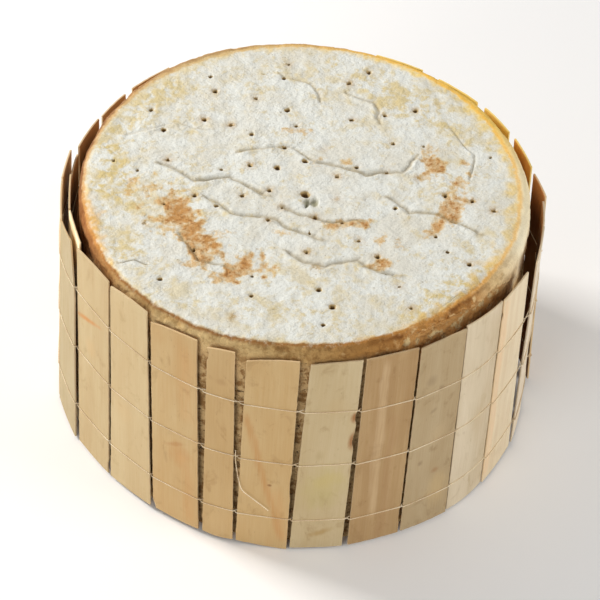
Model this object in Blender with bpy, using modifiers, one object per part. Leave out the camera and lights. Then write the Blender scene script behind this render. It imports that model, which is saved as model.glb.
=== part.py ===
"""A blue cheese wheel wrapped in a twined mat of thin wooden slats.

The wheel stands on its flat base, centred on the origin. Azimuths are in
degrees round +Z, counted from the front (-Y) towards the right (+X).
"""
import math

import bpy
from mathutils import Vector

MM = 0.001

# Cheese
WHEEL_RADIUS = 140 * MM
WHEEL_HEIGHT = 173 * MM
RIM_ROUND = 6.5 * MM
FOOT_ROUND = 4 * MM
SIDE_SAG = 0.5 * MM
SIDE_BULGE = 2.4 * MM
BULGE_AT = 210.0
BULGE_SPREAD = 24.0
WORN_DEPTH = 2.2 * MM
WORN_FROM, WORN_TO = 30.0, 68.0
WHEEL_STEPS = 60

# Slats
SLAT_THICKNESS = 1.2 * MM
SLAT_COLUMNS, SLAT_ROWS = 2, 4

# Each slat along the mat, from the free outer end round the wheel to the
# tucked inner end: the azimuths of its two edges at the foot, how far each
# edge has moved round at the top, the heights of its two top corners and the
# lifts of its two foot corners in millimetres.
SLATS = (
    (-102.2, -92.7, 0.6, 0.6, 165.0, 164.0, 2.0, 2.0),
    (-91.6, -79.2, 0.4, 0.6, 163.0, 162.5, 2.0, 2.5),
    (-78.4, -65.8, 0.4, -5.2, 162.0, 163.5, 2.5, 1.5),
    (-64.4, -50.5, -2.0, -1.6, 166.0, 169.5, 1.5, 2.0),
    (-49.7, -36.3, -1.6, -1.9, 168.0, 170.5, 2.0, 2.5),
    (-34.8, -21.6, -2.2, -2.2, 164.5, 168.0, 3.0, 2.0),
    (-20.5, -13.1, -0.6, -0.5, 165.5, 168.0, 2.5, 2.5),
    (-11.9, 0.8, 0.6, 0.6, 163.5, 168.0, 2.5, 0.3),
    (1.5, 14.4, 2.0, 2.0, 165.0, 166.5, 2.0, 2.0),
    (15.8, 29.0, 1.4, 1.6, 166.5, 165.5, 2.0, 2.5),
    (29.7, 42.9, 1.6, 1.3, 164.0, 164.0, 2.5, 2.0),
    (43.6, 56.2, 1.2, 1.2, 164.5, 163.0, 1.5, 2.0),
    (56.9, 71.0, 1.2, -1.4, 163.5, 163.0, 2.0, 2.0),
    (72.0, 83.5, 2.2, 2.6, 161.5, 162.5, 2.5, 2.0),
    (84.2, 93.2, 2.6, 1.4, 163.0, 163.0, 2.0, 2.5),
    (94.4, 104.6, 1.0, -0.6, 164.5, 164.0, 1.5, 2.0),
    (105.6, 117.2, 0.4, -0.4, 164.5, 165.0, 2.0, 2.0),
    (118.6, 131.0, 1.2, -0.8, 164.0, 164.5, 2.0, 2.0),
    (132.2, 147.0, 0.6, -1.4, 164.0, 164.5, 2.0, 2.0),
    (149.2, 163.4, 1.2, 0.0, 165.5, 166.0, 2.0, 2.0),
    (164.2, 177.0, 0.2, 0.4, 161.5, 162.5, 2.0, 3.0),
    (177.8, 190.2, 0.6, 0.4, 161.0, 160.0, 2.0, 1.5),
    (191.2, 204.4, 0.2, 0.6, 162.5, 161.5, 3.0, 2.0),
    (205.1, 217.6, 0.6, 0.4, 160.5, 162.0, 2.0, 2.5),
    (218.4, 231.0, 0.4, 0.0, 164.5, 164.0, 2.0, 2.0),
    (232.4, 242.8, 1.0, 0.4, 163.5, 162.5, 2.0, 2.0),
    (243.8, 255.6, 1.2, 1.4, 164.0, 165.5, 2.0, 2.5),
    (256.8, 266.2, 1.0, 0.2, 161.0, 160.5, 2.0, 2.0),
    (267.2, 278.6, 0.0, 0.6, 166.0, 165.5, 2.0, 2.0),
    (279.6, 293.4, 0.4, -1.0, 166.0, 167.5, 2.0, 2.0),
)

# Radius of the mat's middle surface at slat edges: azimuth, foot, top.
MAT_COURSE = (
    (-103, 153.4, 151.4),
    (-78, 154.2, 151.4),
    (-66, 151.8, 149.6),
    (-64, 150.0, 146.6),
    (-50, 147.0, 144.2),
    (-36, 145.8, 143.9),
    (0, 146.2, 143.8),
    (30, 146.8, 144.2),
    (44, 148.4, 145.8),
    (71, 149.6, 148.4),
    (72, 150.2, 150.4),
    (93, 149.8, 149.0),
    (94, 155.6, 151.4),
    (105, 152.0, 147.8),
    (131, 149.6, 147.2),
    (163, 148.4, 144.6),
    (190, 147.6, 144.4),
    (218, 149.4, 148.0),
    (256, 148.8, 147.6),
    (266, 147.6, 146.4),
    (294, 145.6, 145.2),
)

# Binding threads
THREAD_RADIUS = 0.35 * MM
CLEARANCE = 0.3 * MM
TWIST_RISE = 0.5 * MM
# Height of each row in the middle, and how much higher it lies at the left.
THREAD_ROWS = ((125.5, 7.0), (78.5, 4.5), (28.5, 4.3))

# Loose thread tail: azimuth, height and distance outside the mat's middle
# surface, in degrees and millimetres.
TAIL_ROUTE = (
    (-12.9, 84.0, -0.2),
    (-12.7, 82.0, 1.4),
    (-12.5, 78.0, 2.6),
    (-12.2, 70.0, 2.0),
    (-11.6, 60.0, 1.8),
    (-10.6, 52.0, 1.9),
    (-8.0, 45.5, 1.4),
    (-4.9, 38.5, 1.3),
    (-4.1, 36.6, 1.5),
)
TAIL_SPACING = 1.8 * MM


def clear_scene():
    for obj in list(bpy.data.objects):
        bpy.data.objects.remove(obj, do_unlink=True)


def make_material(name, color, roughness):
    material = bpy.data.materials.new(name)
    material.use_nodes = True
    shader = material.node_tree.nodes["Principled BSDF"]
    shader.inputs["Base Color"].default_value = (*color, 1.0)
    shader.inputs["Roughness"].default_value = roughness
    shader.inputs["Metallic"].default_value = 0.0
    return material


def polar(azimuth, radius, height):
    angle = math.radians(azimuth)
    return Vector((radius * math.sin(angle), -radius * math.cos(angle), height))


def angle_apart(first, second):
    return (first - second + 180.0) % 360.0 - 180.0


def smooth_step(low, high, value):
    t = min(max((value - low) / (high - low), 0.0), 1.0)
    return t * t * (3.0 - 2.0 * t)


# ---------------------------------------------------------------- cheese

def arc_points(center_x, center_z, radius, start, end, steps):
    points = []
    for i in range(steps + 1):
        angle = math.radians(start + (end - start) * i / steps)
        points.append((center_x + radius * math.cos(angle), center_z + radius * math.sin(angle)))
    return points


def wheel_profile():
    """Half section of the wheel, from the middle of its top down to its base."""
    rim_x = WHEEL_RADIUS - RIM_ROUND
    foot_x = WHEEL_RADIUS - FOOT_ROUND
    rim_z = WHEEL_HEIGHT - RIM_ROUND
    points = [(0.0, WHEEL_HEIGHT)]
    points += [(WHEEL_RADIUS * share, WHEEL_HEIGHT) for share in (0.4, 0.75)]
    points += arc_points(rim_x, rim_z, RIM_ROUND, 90, 0, 4)
    for share in (0.25, 0.5, 0.75):
        height = rim_z + (FOOT_ROUND - rim_z) * share
        points.append((WHEEL_RADIUS - SIDE_SAG * math.sin(math.pi * share), height))
    points += arc_points(foot_x, FOOT_ROUND, FOOT_ROUND, 0, -90, 3)
    points.append((0.0, 0.0))
    return points


def shape_wheel_point(point):
    """Make the turned wheel uneven: a bulge at the back left, a worn rim."""
    radius = math.hypot(point.x, point.y)
    if radius < WHEEL_RADIUS * 0.2:
        return point
    azimuth = math.degrees(math.atan2(point.x, -point.y))
    share = radius / WHEEL_RADIUS
    bulge = SIDE_BULGE * math.exp(-(angle_apart(azimuth, BULGE_AT) / BULGE_SPREAD) ** 2)
    ripple = 0.4 * MM * math.cos(math.radians(3 * azimuth + 40))
    inside = smooth_step(WORN_FROM, WORN_FROM + 10, azimuth)
    inside *= 1.0 - smooth_step(WORN_TO - 12, WORN_TO, azimuth)
    near_rim = smooth_step(WHEEL_HEIGHT - 3 * RIM_ROUND, WHEEL_HEIGHT - RIM_ROUND, point.z)
    near_rim *= smooth_step(WHEEL_RADIUS - 2 * RIM_ROUND, WHEEL_RADIUS - RIM_ROUND, radius)
    worn = WORN_DEPTH * inside * near_rim
    grown = radius + (bulge + ripple) * share - worn
    height = point.z - 0.6 * worn
    return Vector((point.x * grown / radius, point.y * grown / radius, height))


def make_wheel(collection, material):
    mesh = bpy.data.meshes.new("cheese_profile")
    points = wheel_profile()
    vertices = [(x, 0.0, z) for x, z in points]
    edges = [(i, i + 1) for i in range(len(points) - 1)]
    mesh.from_pydata(vertices, edges, [])
    turned = bpy.data.objects.new("cheese_profile", mesh)
    collection.objects.link(turned)
    screw = turned.modifiers.new("turn", "SCREW")
    screw.axis = "Z"
    screw.steps = WHEEL_STEPS
    screw.render_steps = WHEEL_STEPS
    screw.use_merge_vertices = True
    screw.merge_threshold = 0.00005
    graph = bpy.context.evaluated_depsgraph_get()
    solid = bpy.data.meshes.new_from_object(turned.evaluated_get(graph))
    bpy.data.objects.remove(turned, do_unlink=True)
    for vertex in solid.vertices:
        vertex.co = shape_wheel_point(vertex.co)
    solid.name = "cheese"
    solid.shade_smooth()
    solid.set_sharp_from_angle(angle=math.radians(40))
    wheel = bpy.data.objects.new("cheese", solid)
    solid.materials.clear()
    solid.materials.append(material)
    collection.objects.link(wheel)
    return wheel


# ------------------------------------------------------------------- mat

def mat_radius(azimuth, share):
    """Radius of the mat at a slat's edge; share is 0 at the foot, 1 at the top."""
    previous = MAT_COURSE[0]
    for current in MAT_COURSE[1:]:
        if azimuth <= current[0]:
            break
        previous = current
    span = current[0] - previous[0]
    t = min(max((azimuth - previous[0]) / span, 0.0), 1.0)
    foot = previous[1] + (current[1] - previous[1]) * t
    top = previous[2] + (current[2] - previous[2]) * t
    return (foot + (top - foot) * share) * MM


def slat_edge(slat, side, height):
    """Point on the left (0) or right (1) edge of a slat at a height."""
    foot_azimuth = slat[side]
    share = height / (slat[4 + side] * MM)
    azimuth = foot_azimuth + slat[2 + side] * share
    return polar(azimuth, mat_radius(foot_azimuth, share), height)


def slat_point(slat, across, up):
    """Point on a slat's middle surface, both shares running from 0 to 1."""
    edges = []
    for side in (0, 1):
        low = slat[6 + side] * MM
        high = slat[4 + side] * MM
        edges.append(slat_edge(slat, side, low + (high - low) * up))
    return edges[0].lerp(edges[1], across)


def make_slat(collection, index, slat, material):
    name = f"slat_{index + 1:02d}"
    bpy.ops.mesh.primitive_grid_add(
        x_subdivisions=SLAT_COLUMNS, y_subdivisions=SLAT_ROWS, size=1.0)
    obj = bpy.context.object
    obj.name = name
    obj.data.name = name
    for vertex in obj.data.vertices:
        vertex.co = slat_point(slat, vertex.co.x + 0.5, vertex.co.y + 0.5)
    thicken = obj.modifiers.new("thickness", "SOLIDIFY")
    thicken.thickness = SLAT_THICKNESS
    thicken.offset = 0.0
    thicken.use_even_offset = True
    obj.data.materials.append(material)
    for owner in list(obj.users_collection):
        owner.objects.unlink(obj)
    collection.objects.link(obj)
    return obj


# --------------------------------------------------------------- threads

def add_tube(collection, name, points, material):
    curve = bpy.data.curves.new(name, "CURVE")
    curve.dimensions = "3D"
    curve.bevel_depth = THREAD_RADIUS
    curve.bevel_resolution = 2
    curve.use_fill_caps = True
    spline = curve.splines.new("POLY")
    spline.points.add(len(points) - 1)
    for target, point in zip(spline.points, points):
        target.co = (*point, 1.0)
    curve.materials.append(material)
    obj = bpy.data.objects.new(name, curve)
    collection.objects.link(obj)
    return obj


def row_height(row, azimuth):
    middle, slope = row
    return (middle - slope * math.sin(math.radians(azimuth))) * MM


def twined_route(row, phase):
    """One strand of a row: over one slat, behind the next, crossing in the gaps.

    The other strand of the pair runs the same course half a turn behind.
    """
    face = SLAT_THICKNESS / 2 + CLEARANCE + THREAD_RADIUS
    beside = CLEARANCE + THREAD_RADIUS
    rise = Vector((0.0, 0.0, TWIST_RISE))
    route = []
    for index, slat in enumerate(SLATS):
        left = slat_edge(slat, 0, row_height(row, slat[0]))
        right = slat_edge(slat, 1, row_height(row, slat[1]))
        along = (right - left).normalized()
        outward = along.cross(Vector((0.0, 0.0, 1.0))).normalized()
        side = 1 if (index + phase) % 2 == 0 else -1
        route.append(left - along * beside + outward * face * side - rise * side)
        route.append(right + along * beside + outward * face * side + rise * side)
    return route


def make_threads(collection, material):
    for number, row in enumerate(THREAD_ROWS):
        for phase, letter in enumerate("ab"):
            name = f"thread_{number + 1}_{letter}"
            add_tube(collection, name, twined_route(row, phase), material)


def tail_guide_points():
    points = []
    for azimuth, height, outside in TAIL_ROUTE:
        share = height * MM / WHEEL_HEIGHT
        radius = mat_radius(azimuth, share) + outside * MM
        points.append(polar(azimuth, radius, height * MM))
    return points


def smooth_curve(guides, spacing):
    """Even points along a Catmull-Rom curve through the guides."""
    padded = [guides[0] * 2 - guides[1]] + guides + [guides[-1] * 2 - guides[-2]]
    dense = []
    for i in range(1, len(padded) - 2):
        before, start, end, after = padded[i - 1:i + 3]
        for k in range(24):
            t = k / 24
            point = start * 2 + (end - before) * t
            point += (before * 2 - start * 5 + end * 4 - after) * t ** 2
            point += (start * 3 - before - end * 3 + after) * t ** 3
            dense.append(point / 2)
    dense.append(guides[-1])
    travelled = [0.0]
    for first, second in zip(dense, dense[1:]):
        travelled.append(travelled[-1] + (second - first).length)
    count = max(2, round(travelled[-1] / spacing))
    points = []
    segment = 0
    for i in range(count + 1):
        goal = travelled[-1] * i / count
        while segment < len(dense) - 2 and travelled[segment + 1] < goal:
            segment += 1
        span = travelled[segment + 1] - travelled[segment]
        points.append(dense[segment].lerp(dense[segment + 1], (goal - travelled[segment]) / span))
    return points


def make_tail(collection, material):
    add_tube(collection, "thread_tail", smooth_curve(tail_guide_points(), TAIL_SPACING), material)


def main():
    clear_scene()
    collection = bpy.data.collections.new("cheese_wheel")
    bpy.context.scene.collection.children.link(collection)
    rind = make_material("rind", (0.68, 0.61, 0.46), 0.85)
    wood = make_material("wood", (0.62, 0.45, 0.26), 0.7)
    thread = make_material("thread", (0.7, 0.58, 0.4), 0.9)
    make_wheel(collection, rind)
    for index, slat in enumerate(SLATS):
        make_slat(collection, index, slat, wood)
    make_threads(collection, thread)
    make_tail(collection, thread)


main()
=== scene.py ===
import math
import random

import bpy
import numpy as np
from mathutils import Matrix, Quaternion, Vector, noise


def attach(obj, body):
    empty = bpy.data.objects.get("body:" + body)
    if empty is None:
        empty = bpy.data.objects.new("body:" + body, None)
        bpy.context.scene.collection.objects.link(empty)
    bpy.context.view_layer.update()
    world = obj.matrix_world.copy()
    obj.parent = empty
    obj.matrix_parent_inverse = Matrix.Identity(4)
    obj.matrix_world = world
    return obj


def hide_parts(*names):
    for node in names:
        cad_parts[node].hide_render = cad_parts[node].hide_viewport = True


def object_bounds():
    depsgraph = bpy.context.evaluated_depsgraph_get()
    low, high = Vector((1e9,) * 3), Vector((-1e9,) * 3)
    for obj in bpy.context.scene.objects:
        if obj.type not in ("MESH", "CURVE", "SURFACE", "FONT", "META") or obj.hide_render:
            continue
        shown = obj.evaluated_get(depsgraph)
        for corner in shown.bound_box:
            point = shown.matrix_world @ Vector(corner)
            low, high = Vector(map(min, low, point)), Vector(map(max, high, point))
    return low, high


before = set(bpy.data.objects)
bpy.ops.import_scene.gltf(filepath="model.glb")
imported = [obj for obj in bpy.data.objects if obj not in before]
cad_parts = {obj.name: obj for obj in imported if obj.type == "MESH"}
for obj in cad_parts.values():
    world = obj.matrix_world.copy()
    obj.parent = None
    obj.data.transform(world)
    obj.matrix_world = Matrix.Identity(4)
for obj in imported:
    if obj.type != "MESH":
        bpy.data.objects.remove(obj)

cadLow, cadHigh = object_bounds()
mm = 0.001
upward = Vector((0.0, 0.0, 1.0))
print("frame loaded:", len(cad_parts), "nodes")


# small tools used by every piece

def clearSelection():
    if bpy.context.mode != "OBJECT":
        bpy.ops.object.mode_set(mode="OBJECT")
    bpy.ops.object.select_all(action="DESELECT")


def pickOnly(piece):
    clearSelection()
    piece.select_set(True)
    bpy.context.view_layer.objects.active = piece


def useModifier(piece, kind, **values):
    pickOnly(piece)
    modifier = piece.modifiers.new(kind.lower(), kind)
    for name, value in values.items():
        setattr(modifier, name, value)
    bpy.ops.object.modifier_apply(modifier=modifier.name)


def readPoints(mesh):
    values = np.empty(len(mesh.vertices) * 3)
    mesh.vertices.foreach_get("co", values)
    return values.reshape(-1, 3)


def writePoints(mesh, points):
    mesh.vertices.foreach_set("co", points.ravel())
    mesh.update()


def readNormals(mesh):
    values = np.empty(len(mesh.vertices) * 3)
    mesh.vertices.foreach_get("normal", values)
    return values.reshape(-1, 3)


def paintPoints(mesh, name, values):
    layer = mesh.attributes.new(name, "FLOAT", "POINT")
    layer.data.foreach_set("value", np.ascontiguousarray(values, dtype=np.float32))


def smoothStep(low, high, values):
    share = np.clip((values - low) / (high - low), 0.0, 1.0)
    return share * share * (3.0 - 2.0 * share)


def unevenness(points, size, seed, octaves=1):
    # one soft random number for each point, about -0.5 to 0.5
    shift = Vector((seed * 17.1, seed * -9.7, seed * 5.3))
    found = np.empty(len(points))
    for i, (x, y, z) in enumerate((points / size).tolist()):
        place = Vector((x, y, z)) + shift
        found[i] = noise.fractal(place, 0.8, 2.1, octaves) if octaves > 1 else noise.noise(place)
    return found


def finishPiece(piece, name, nodes, material):
    piece.name = name
    piece.data.name = name
    piece.data.materials.clear()
    piece.data.materials.append(material)
    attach(piece, "root")
    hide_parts(*nodes)


# camera

cameraLook = {
    "lens": 180.0,
    "sensor": 36.0,
    "distance": 1.916,
    "height": 44.95,                    # degrees above the table
    "level": 0.086,                     # height that the distance is measured from
    "aim": (0.0012, -0.0058, 0.0802),
    "roll": 3.53,
}


def addCamera():
    rise = math.radians(cameraLook["height"])
    distance = cameraLook["distance"]
    place = Vector((0.0, -distance * math.cos(rise), cameraLook["level"] + distance * math.sin(rise)))
    bpy.ops.object.camera_add(location=place)
    camera = bpy.context.object
    camera.name = "camera"
    camera.data.lens = cameraLook["lens"]
    camera.data.sensor_width = cameraLook["sensor"]
    toAim = (Vector(cameraLook["aim"]) - place).to_track_quat("-Z", "Y")
    camera.rotation_mode = "QUATERNION"
    camera.rotation_quaternion = toAim @ Quaternion((0.0, 0.0, 1.0), math.radians(cameraLook["roll"]))
    bpy.context.scene.camera = camera


clearSelection()
addCamera()
print("camera placed")


# node helpers for the finishes

def cardColor(red, green, blue):
    # a colour off a colour card, 0 to 255, as the shader wants it
    channels = []
    for part in (red, green, blue):
        share = part / 255.0
        channels.append(share / 12.92 if share <= 0.04045 else ((share + 0.055) / 1.055) ** 2.4)
    return (*channels, 1.0)


def addNode(tree, kind, options=None, **sockets):
    made = tree.nodes.new(kind)
    for name, value in (options or {}).items():
        setattr(made, name, value)
    for name, value in sockets.items():
        setSocket(tree, made.inputs[name.replace("_", " ")], value)
    return made


def setSocket(tree, socket, value):
    if isinstance(value, bpy.types.NodeSocket):
        tree.links.new(value, socket)
    else:
        socket.default_value = value


def mathOf(tree, operation, first, second=0.0, third=None, clamp=False):
    made = addNode(tree, "ShaderNodeMath", {"operation": operation, "use_clamp": clamp})
    setSocket(tree, made.inputs[0], first)
    setSocket(tree, made.inputs[1], second)
    if third is not None:
        setSocket(tree, made.inputs[2], third)
    return made.outputs[0]


def mixOf(tree, factor, first, second, blend="MIX"):
    made = addNode(tree, "ShaderNodeMix", {"data_type": "RGBA", "blend_type": blend})
    setSocket(tree, made.inputs[0], factor)
    setSocket(tree, made.inputs[6], first)
    setSocket(tree, made.inputs[7], second)
    return made.outputs[2]


def rangeOf(tree, value, low, high, outLow=0.0, outHigh=1.0):
    made = addNode(tree, "ShaderNodeMapRange", {"interpolation_type": "SMOOTHSTEP"})
    for i, number in enumerate((value, low, high, outLow, outHigh)):
        setSocket(tree, made.inputs[i], number)
    return made.outputs[0]


def noiseOf(tree, place, scale, detail=2.0, roughness=0.5, distortion=0.0):
    made = addNode(tree, "ShaderNodeTexNoise", Vector=place, Scale=scale, Detail=detail,
                   Roughness=roughness, Distortion=distortion)
    return made.outputs[0]


def stretchedPlace(tree, place, scale, turn=0.0, shift=(0.0, 0.0, 0.0)):
    made = addNode(tree, "ShaderNodeMapping", Vector=place, Scale=scale, Location=shift,
                   Rotation=(0.0, 0.0, math.radians(turn)))
    return made.outputs[0]


def paintedMask(tree, name):
    return addNode(tree, "ShaderNodeAttribute", {"attribute_name": name}).outputs["Fac"]


def newMaterial(name):
    material = bpy.data.materials.new(name)
    material.use_nodes = True
    tree = material.node_tree
    return material, tree, tree.nodes["Principled BSDF"]


def bumpOf(tree, height, strength, distance):
    made = addNode(tree, "ShaderNodeBump", Height=height, Strength=strength, Distance=distance)
    return made.outputs[0]


def newGroup(name, inputs, outputs):
    tree = bpy.data.node_groups.new(name, "ShaderNodeTree")
    for title, kind, value in inputs:
        socket = tree.interface.new_socket(title, in_out="INPUT", socket_type=kind)
        if value is not None:
            socket.default_value = value
    for title, kind in outputs:
        tree.interface.new_socket(title, in_out="OUTPUT", socket_type=kind)
    return tree, addNode(tree, "NodeGroupInput"), addNode(tree, "NodeGroupOutput")


def placeGroup(tree, group, **sockets):
    return addNode(tree, "ShaderNodeGroup", {"node_tree": group}, **sockets)


# thread

threadLook = {
    "radius": 0.35,                     # millimetres
    "pitch": 3.2,                       # one turn of the two plies
    "spacing": 0.55,
    "pale": (246, 232, 202),
    "dark": (206, 176, 132),
}
tailLook = {
    # azimuth in degrees, distance from the wheel's middle and height in millimetres
    "guides": ((-12.9, 144.78, 84.0), (-12.7, 146.41, 82.0), (-12.5, 147.66, 78.0), (-12.2, 147.16, 70.0),
               (-11.6, 147.10, 60.0), (-10.6, 147.31, 52.0), (-8.0, 146.90, 45.5), (-4.9, 146.94, 38.5),
               (-4.1, 147.17, 36.6)),
    "spacing": 1.8,
}


def polar(azimuth, radius, height):
    angle = math.radians(azimuth)
    return Vector((radius * math.sin(angle), -radius * math.cos(angle), height))


def smoothCurve(guides, spacing):
    # even points on a smooth line through the guides
    padded = [guides[0] * 2 - guides[1]] + guides + [guides[-1] * 2 - guides[-2]]
    dense = []
    for i in range(1, len(padded) - 2):
        before, start, end, after = padded[i - 1:i + 3]
        for k in range(24):
            t = k / 24
            point = start * 2 + (end - before) * t
            point += (before * 2 - start * 5 + end * 4 - after) * t ** 2
            point += (start * 3 - before - end * 3 + after) * t ** 3
            dense.append(point / 2)
    dense.append(guides[-1])
    return evenPoints(dense, spacing)


def evenPoints(line, spacing):
    travelled = [0.0]
    for first, second in zip(line, line[1:]):
        travelled.append(travelled[-1] + (second - first).length)
    count = max(2, round(travelled[-1] / spacing))
    points = []
    segment = 0
    for i in range(count + 1):
        goal = travelled[-1] * i / count
        while segment < len(line) - 2 and travelled[segment + 1] < goal:
            segment += 1
        span = max(travelled[segment + 1] - travelled[segment], 1e-9)
        points.append(line[segment].lerp(line[segment + 1], min((goal - travelled[segment]) / span, 1.0)))
    return points


def threadSection():
    # the outline of two plies lying against each other
    curve = bpy.data.curves.new("threadSection", "CURVE")
    curve.dimensions = "2D"
    outline = curve.splines.new("POLY")
    outline.use_cyclic_u = True
    shares = ((1.0, 0.0), (0.82, 0.5), (0.35, 0.42), (-0.35, 0.42), (-0.82, 0.5),
              (-1.0, 0.0), (-0.82, -0.5), (-0.35, -0.42), (0.35, -0.42), (0.82, -0.5))
    outline.points.add(len(shares) - 1)
    for point, (across, deep) in zip(outline.points, shares):
        point.co = (across * threadLook["radius"] * mm, deep * threadLook["radius"] * mm, 0.0, 1.0)
    section = bpy.data.objects.new("threadSection", curve)
    bpy.context.scene.collection.objects.link(section)
    return section


def twistedThread(name, points, section, spacing):
    curve = bpy.data.curves.new(name, "CURVE")
    curve.dimensions = "3D"
    curve.bevel_mode = "OBJECT"
    curve.bevel_object = section
    curve.use_fill_caps = True
    line = curve.splines.new("POLY")
    line.points.add(len(points) - 1)
    for i, (target, point) in enumerate(zip(line.points, points)):
        target.co = (*point, 1.0)
        target.tilt = 2.0 * math.pi * i * spacing / threadLook["pitch"]
    thread = bpy.data.objects.new(name, curve)
    bpy.context.scene.collection.objects.link(thread)
    pickOnly(thread)
    bpy.ops.object.convert(target="MESH")
    thread = bpy.context.object
    bpy.ops.object.shade_smooth()
    return thread


def makeThreadMaterial():
    material, tree, shader = newMaterial("bindingThread")
    place = addNode(tree, "ShaderNodeTexCoord").outputs["Object"]
    fibres = noiseOf(tree, place, 2600.0, 3.0, 0.7)
    patches = noiseOf(tree, place, 60.0, 2.0)
    tone = mathOf(tree, "ADD", mathOf(tree, "MULTIPLY", fibres, 0.55), mathOf(tree, "MULTIPLY", patches, 0.45))
    shade = rangeOf(tree, tone, 0.36, 0.62)
    color = mixOf(tree, shade, cardColor(*threadLook["dark"]), cardColor(*threadLook["pale"]))
    setSocket(tree, shader.inputs["Base Color"], color)
    setSocket(tree, shader.inputs["Roughness"], rangeOf(tree, fibres, 0.3, 0.7, 0.75, 0.95))
    setSocket(tree, shader.inputs["Normal"], bumpOf(tree, fibres, 0.5, 0.0002))
    shader.inputs["Sheen Weight"].default_value = 0.2
    return material


threadMaterial = makeThreadMaterial()
section = threadSection()


def makeTail():
    guides = [polar(azimuth, radius * mm, height * mm) for azimuth, radius, height in tailLook["guides"]]
    route = smoothCurve(guides, tailLook["spacing"] * mm)
    fine = evenPoints(route, threadLook["spacing"] * mm)
    tail = twistedThread("threadTail", fine, section, threadLook["spacing"])
    finishPiece(tail, "threadTail", ["thread_tail"], threadMaterial)


makeTail()


# cheese

wheel = {
    "topCells": 168,
    "radius": 140.0,                    # millimetres, like every length below
    "rimRound": 6.5,
    "footRound": 4.0,
    "rimSteps": 10,
    "fineStep": 2.0,
    "fineTo": 154.0,
    "coarseStep": 18.0,
    "baseRings": (100.0, 60.0, 22.0),
    "sideSag": 0.5,
    "bulge": 2.4,
    "bulgeAt": 210.0,
    "bulgeSpread": 24.0,
    "ripple": 0.4,
    "worn": 2.2,
    "wornFrom": 30.0,
    "wornTo": 68.0,
}

# soft folds that the cloth has pressed into the top: points, width, depth, lip and step, in millimetres
creases = (
    (((-116, 40), (-84, 52), (-60, 50)), 1.28, 0.48, 0.38, 0.2),
    (((-92, 14), (-68, 2), (-48, 6), (-20, -10)), 2.05, 1.68, 1.38, 0.8),
    (((-14, -20), (12, -29), (36, -26)), 1.66, 1.2, 0.94, 0.4),
    (((-62, -14), (-44, -26), (-16, -30), (14, -46)), 2.05, 1.56, 1.31, 0.6),
    (((-44, 30), (-12, 37), (8, 24)), 1.66, 1.2, 0.94, 0.4),
    (((8, 24), (36, 16), (58, 20), (72, 38)), 1.92, 1.56, 1.19, 0.6),
    (((50, -4), (66, -16), (86, -15), (108, -32)), 2.05, 1.56, 1.25, 0.7),
    (((-10, -58), (14, -69), (34, -62), (60, -74)), 2.05, 1.56, 1.25, 0.7),
    (((-74, -46), (-60, -68), (-40, -76)), 1.66, 1.2, 0.88, 0.5),
    (((88, 64), (104, 40), (103, 14)), 1.28, 0.6, 0.44, 0.3),
    (((20, 94), (40, 82), (46, 62)), 1.41, 0.84, 0.62, 0.3),
    (((-20, 108), (0, 98), (8, 80)), 1.41, 0.72, 0.5, 0.2),
    (((-114, -76), (-102, -74), (-92, -75)), 0.77, 1.32, 0.12, 0.1),
    (((73, -107), (94, -89), (107, -81), (115, -73)), 0.77, 0.72, 0.25, 0.3),
)

# rings of needle holes: distance from the middle, number, first azimuth
piercing = {
    "rings": ((24.0, 7, -132.0), (40.0, 9, -158.0), (55.5, 10, -103.0), (71.0, 12, -110.0),
              (87.0, 13, -157.0), (102.5, 14, -92.0), (119.0, 14, -121.0)),
    "jitter": 2.6,
    "narrow": 0.7,
    "wide": 1.2,
    "shallow": 0.24,                    # share of the holes that have nearly closed
    "corners": 14,
    # height above the top and radius of the needle's print, upwards
    "print": ((-4.2, 0.5), (-3.0, 0.95), (-1.7, 1.2), (-0.8, 1.55), (-0.2, 2.05), (0.6, 2.6), (2.2, 3.0)),
}
coreHole = {"place": (0.4, -5.6), "size": 1.6, "deep": 2.2}
tornCurd = {"places": ((1.8, -13.0, 2.2, 4.4), (6.6, -12.2, 2.6, 4.0)), "depth": 1.9}

# stains: x, y, half length, half width, turn in degrees, strength
rustPatches = (
    (-79, -31, 28, 11, -54, 1.0), (-96, -8, 12, 7, -20, 0.7), (-60, -57, 13, 10, -60, 0.9),
    (-64, -73, 8, 4, 10, 0.7), (-36, -76, 14, 10, 25, 0.95), (-48, -60, 9, 5, 30, 0.4),
    (77, 42, 6, 9, 0, 0.75), (80, 26, 10, 8, -70, 0.95), (96, 14, 12, 5, 75, 0.8), (90, -10, 11, 8, 60, 0.9),
    (83, -27, 10, 5, 55, 0.85), (46, -42, 7, 5, 0, 0.75), (21, -30, 7, 4, 0, 0.8), (34, -29, 8, 4, 10, 0.75),
    (51, -63, 8, 4, 10, 0.75), (-6, 52, 8, 2.5, 0, 0.6), (-15, -40, 5, 3, 0, 0.5), (24, 25, 5, 3, 0, 0.5),
    (58, -46, 4, 6, 0, 0.5), (9, 21, 4, 5, 0, 0.4), (-48, -45, 8, 5, 0, 0.5),
)
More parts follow.
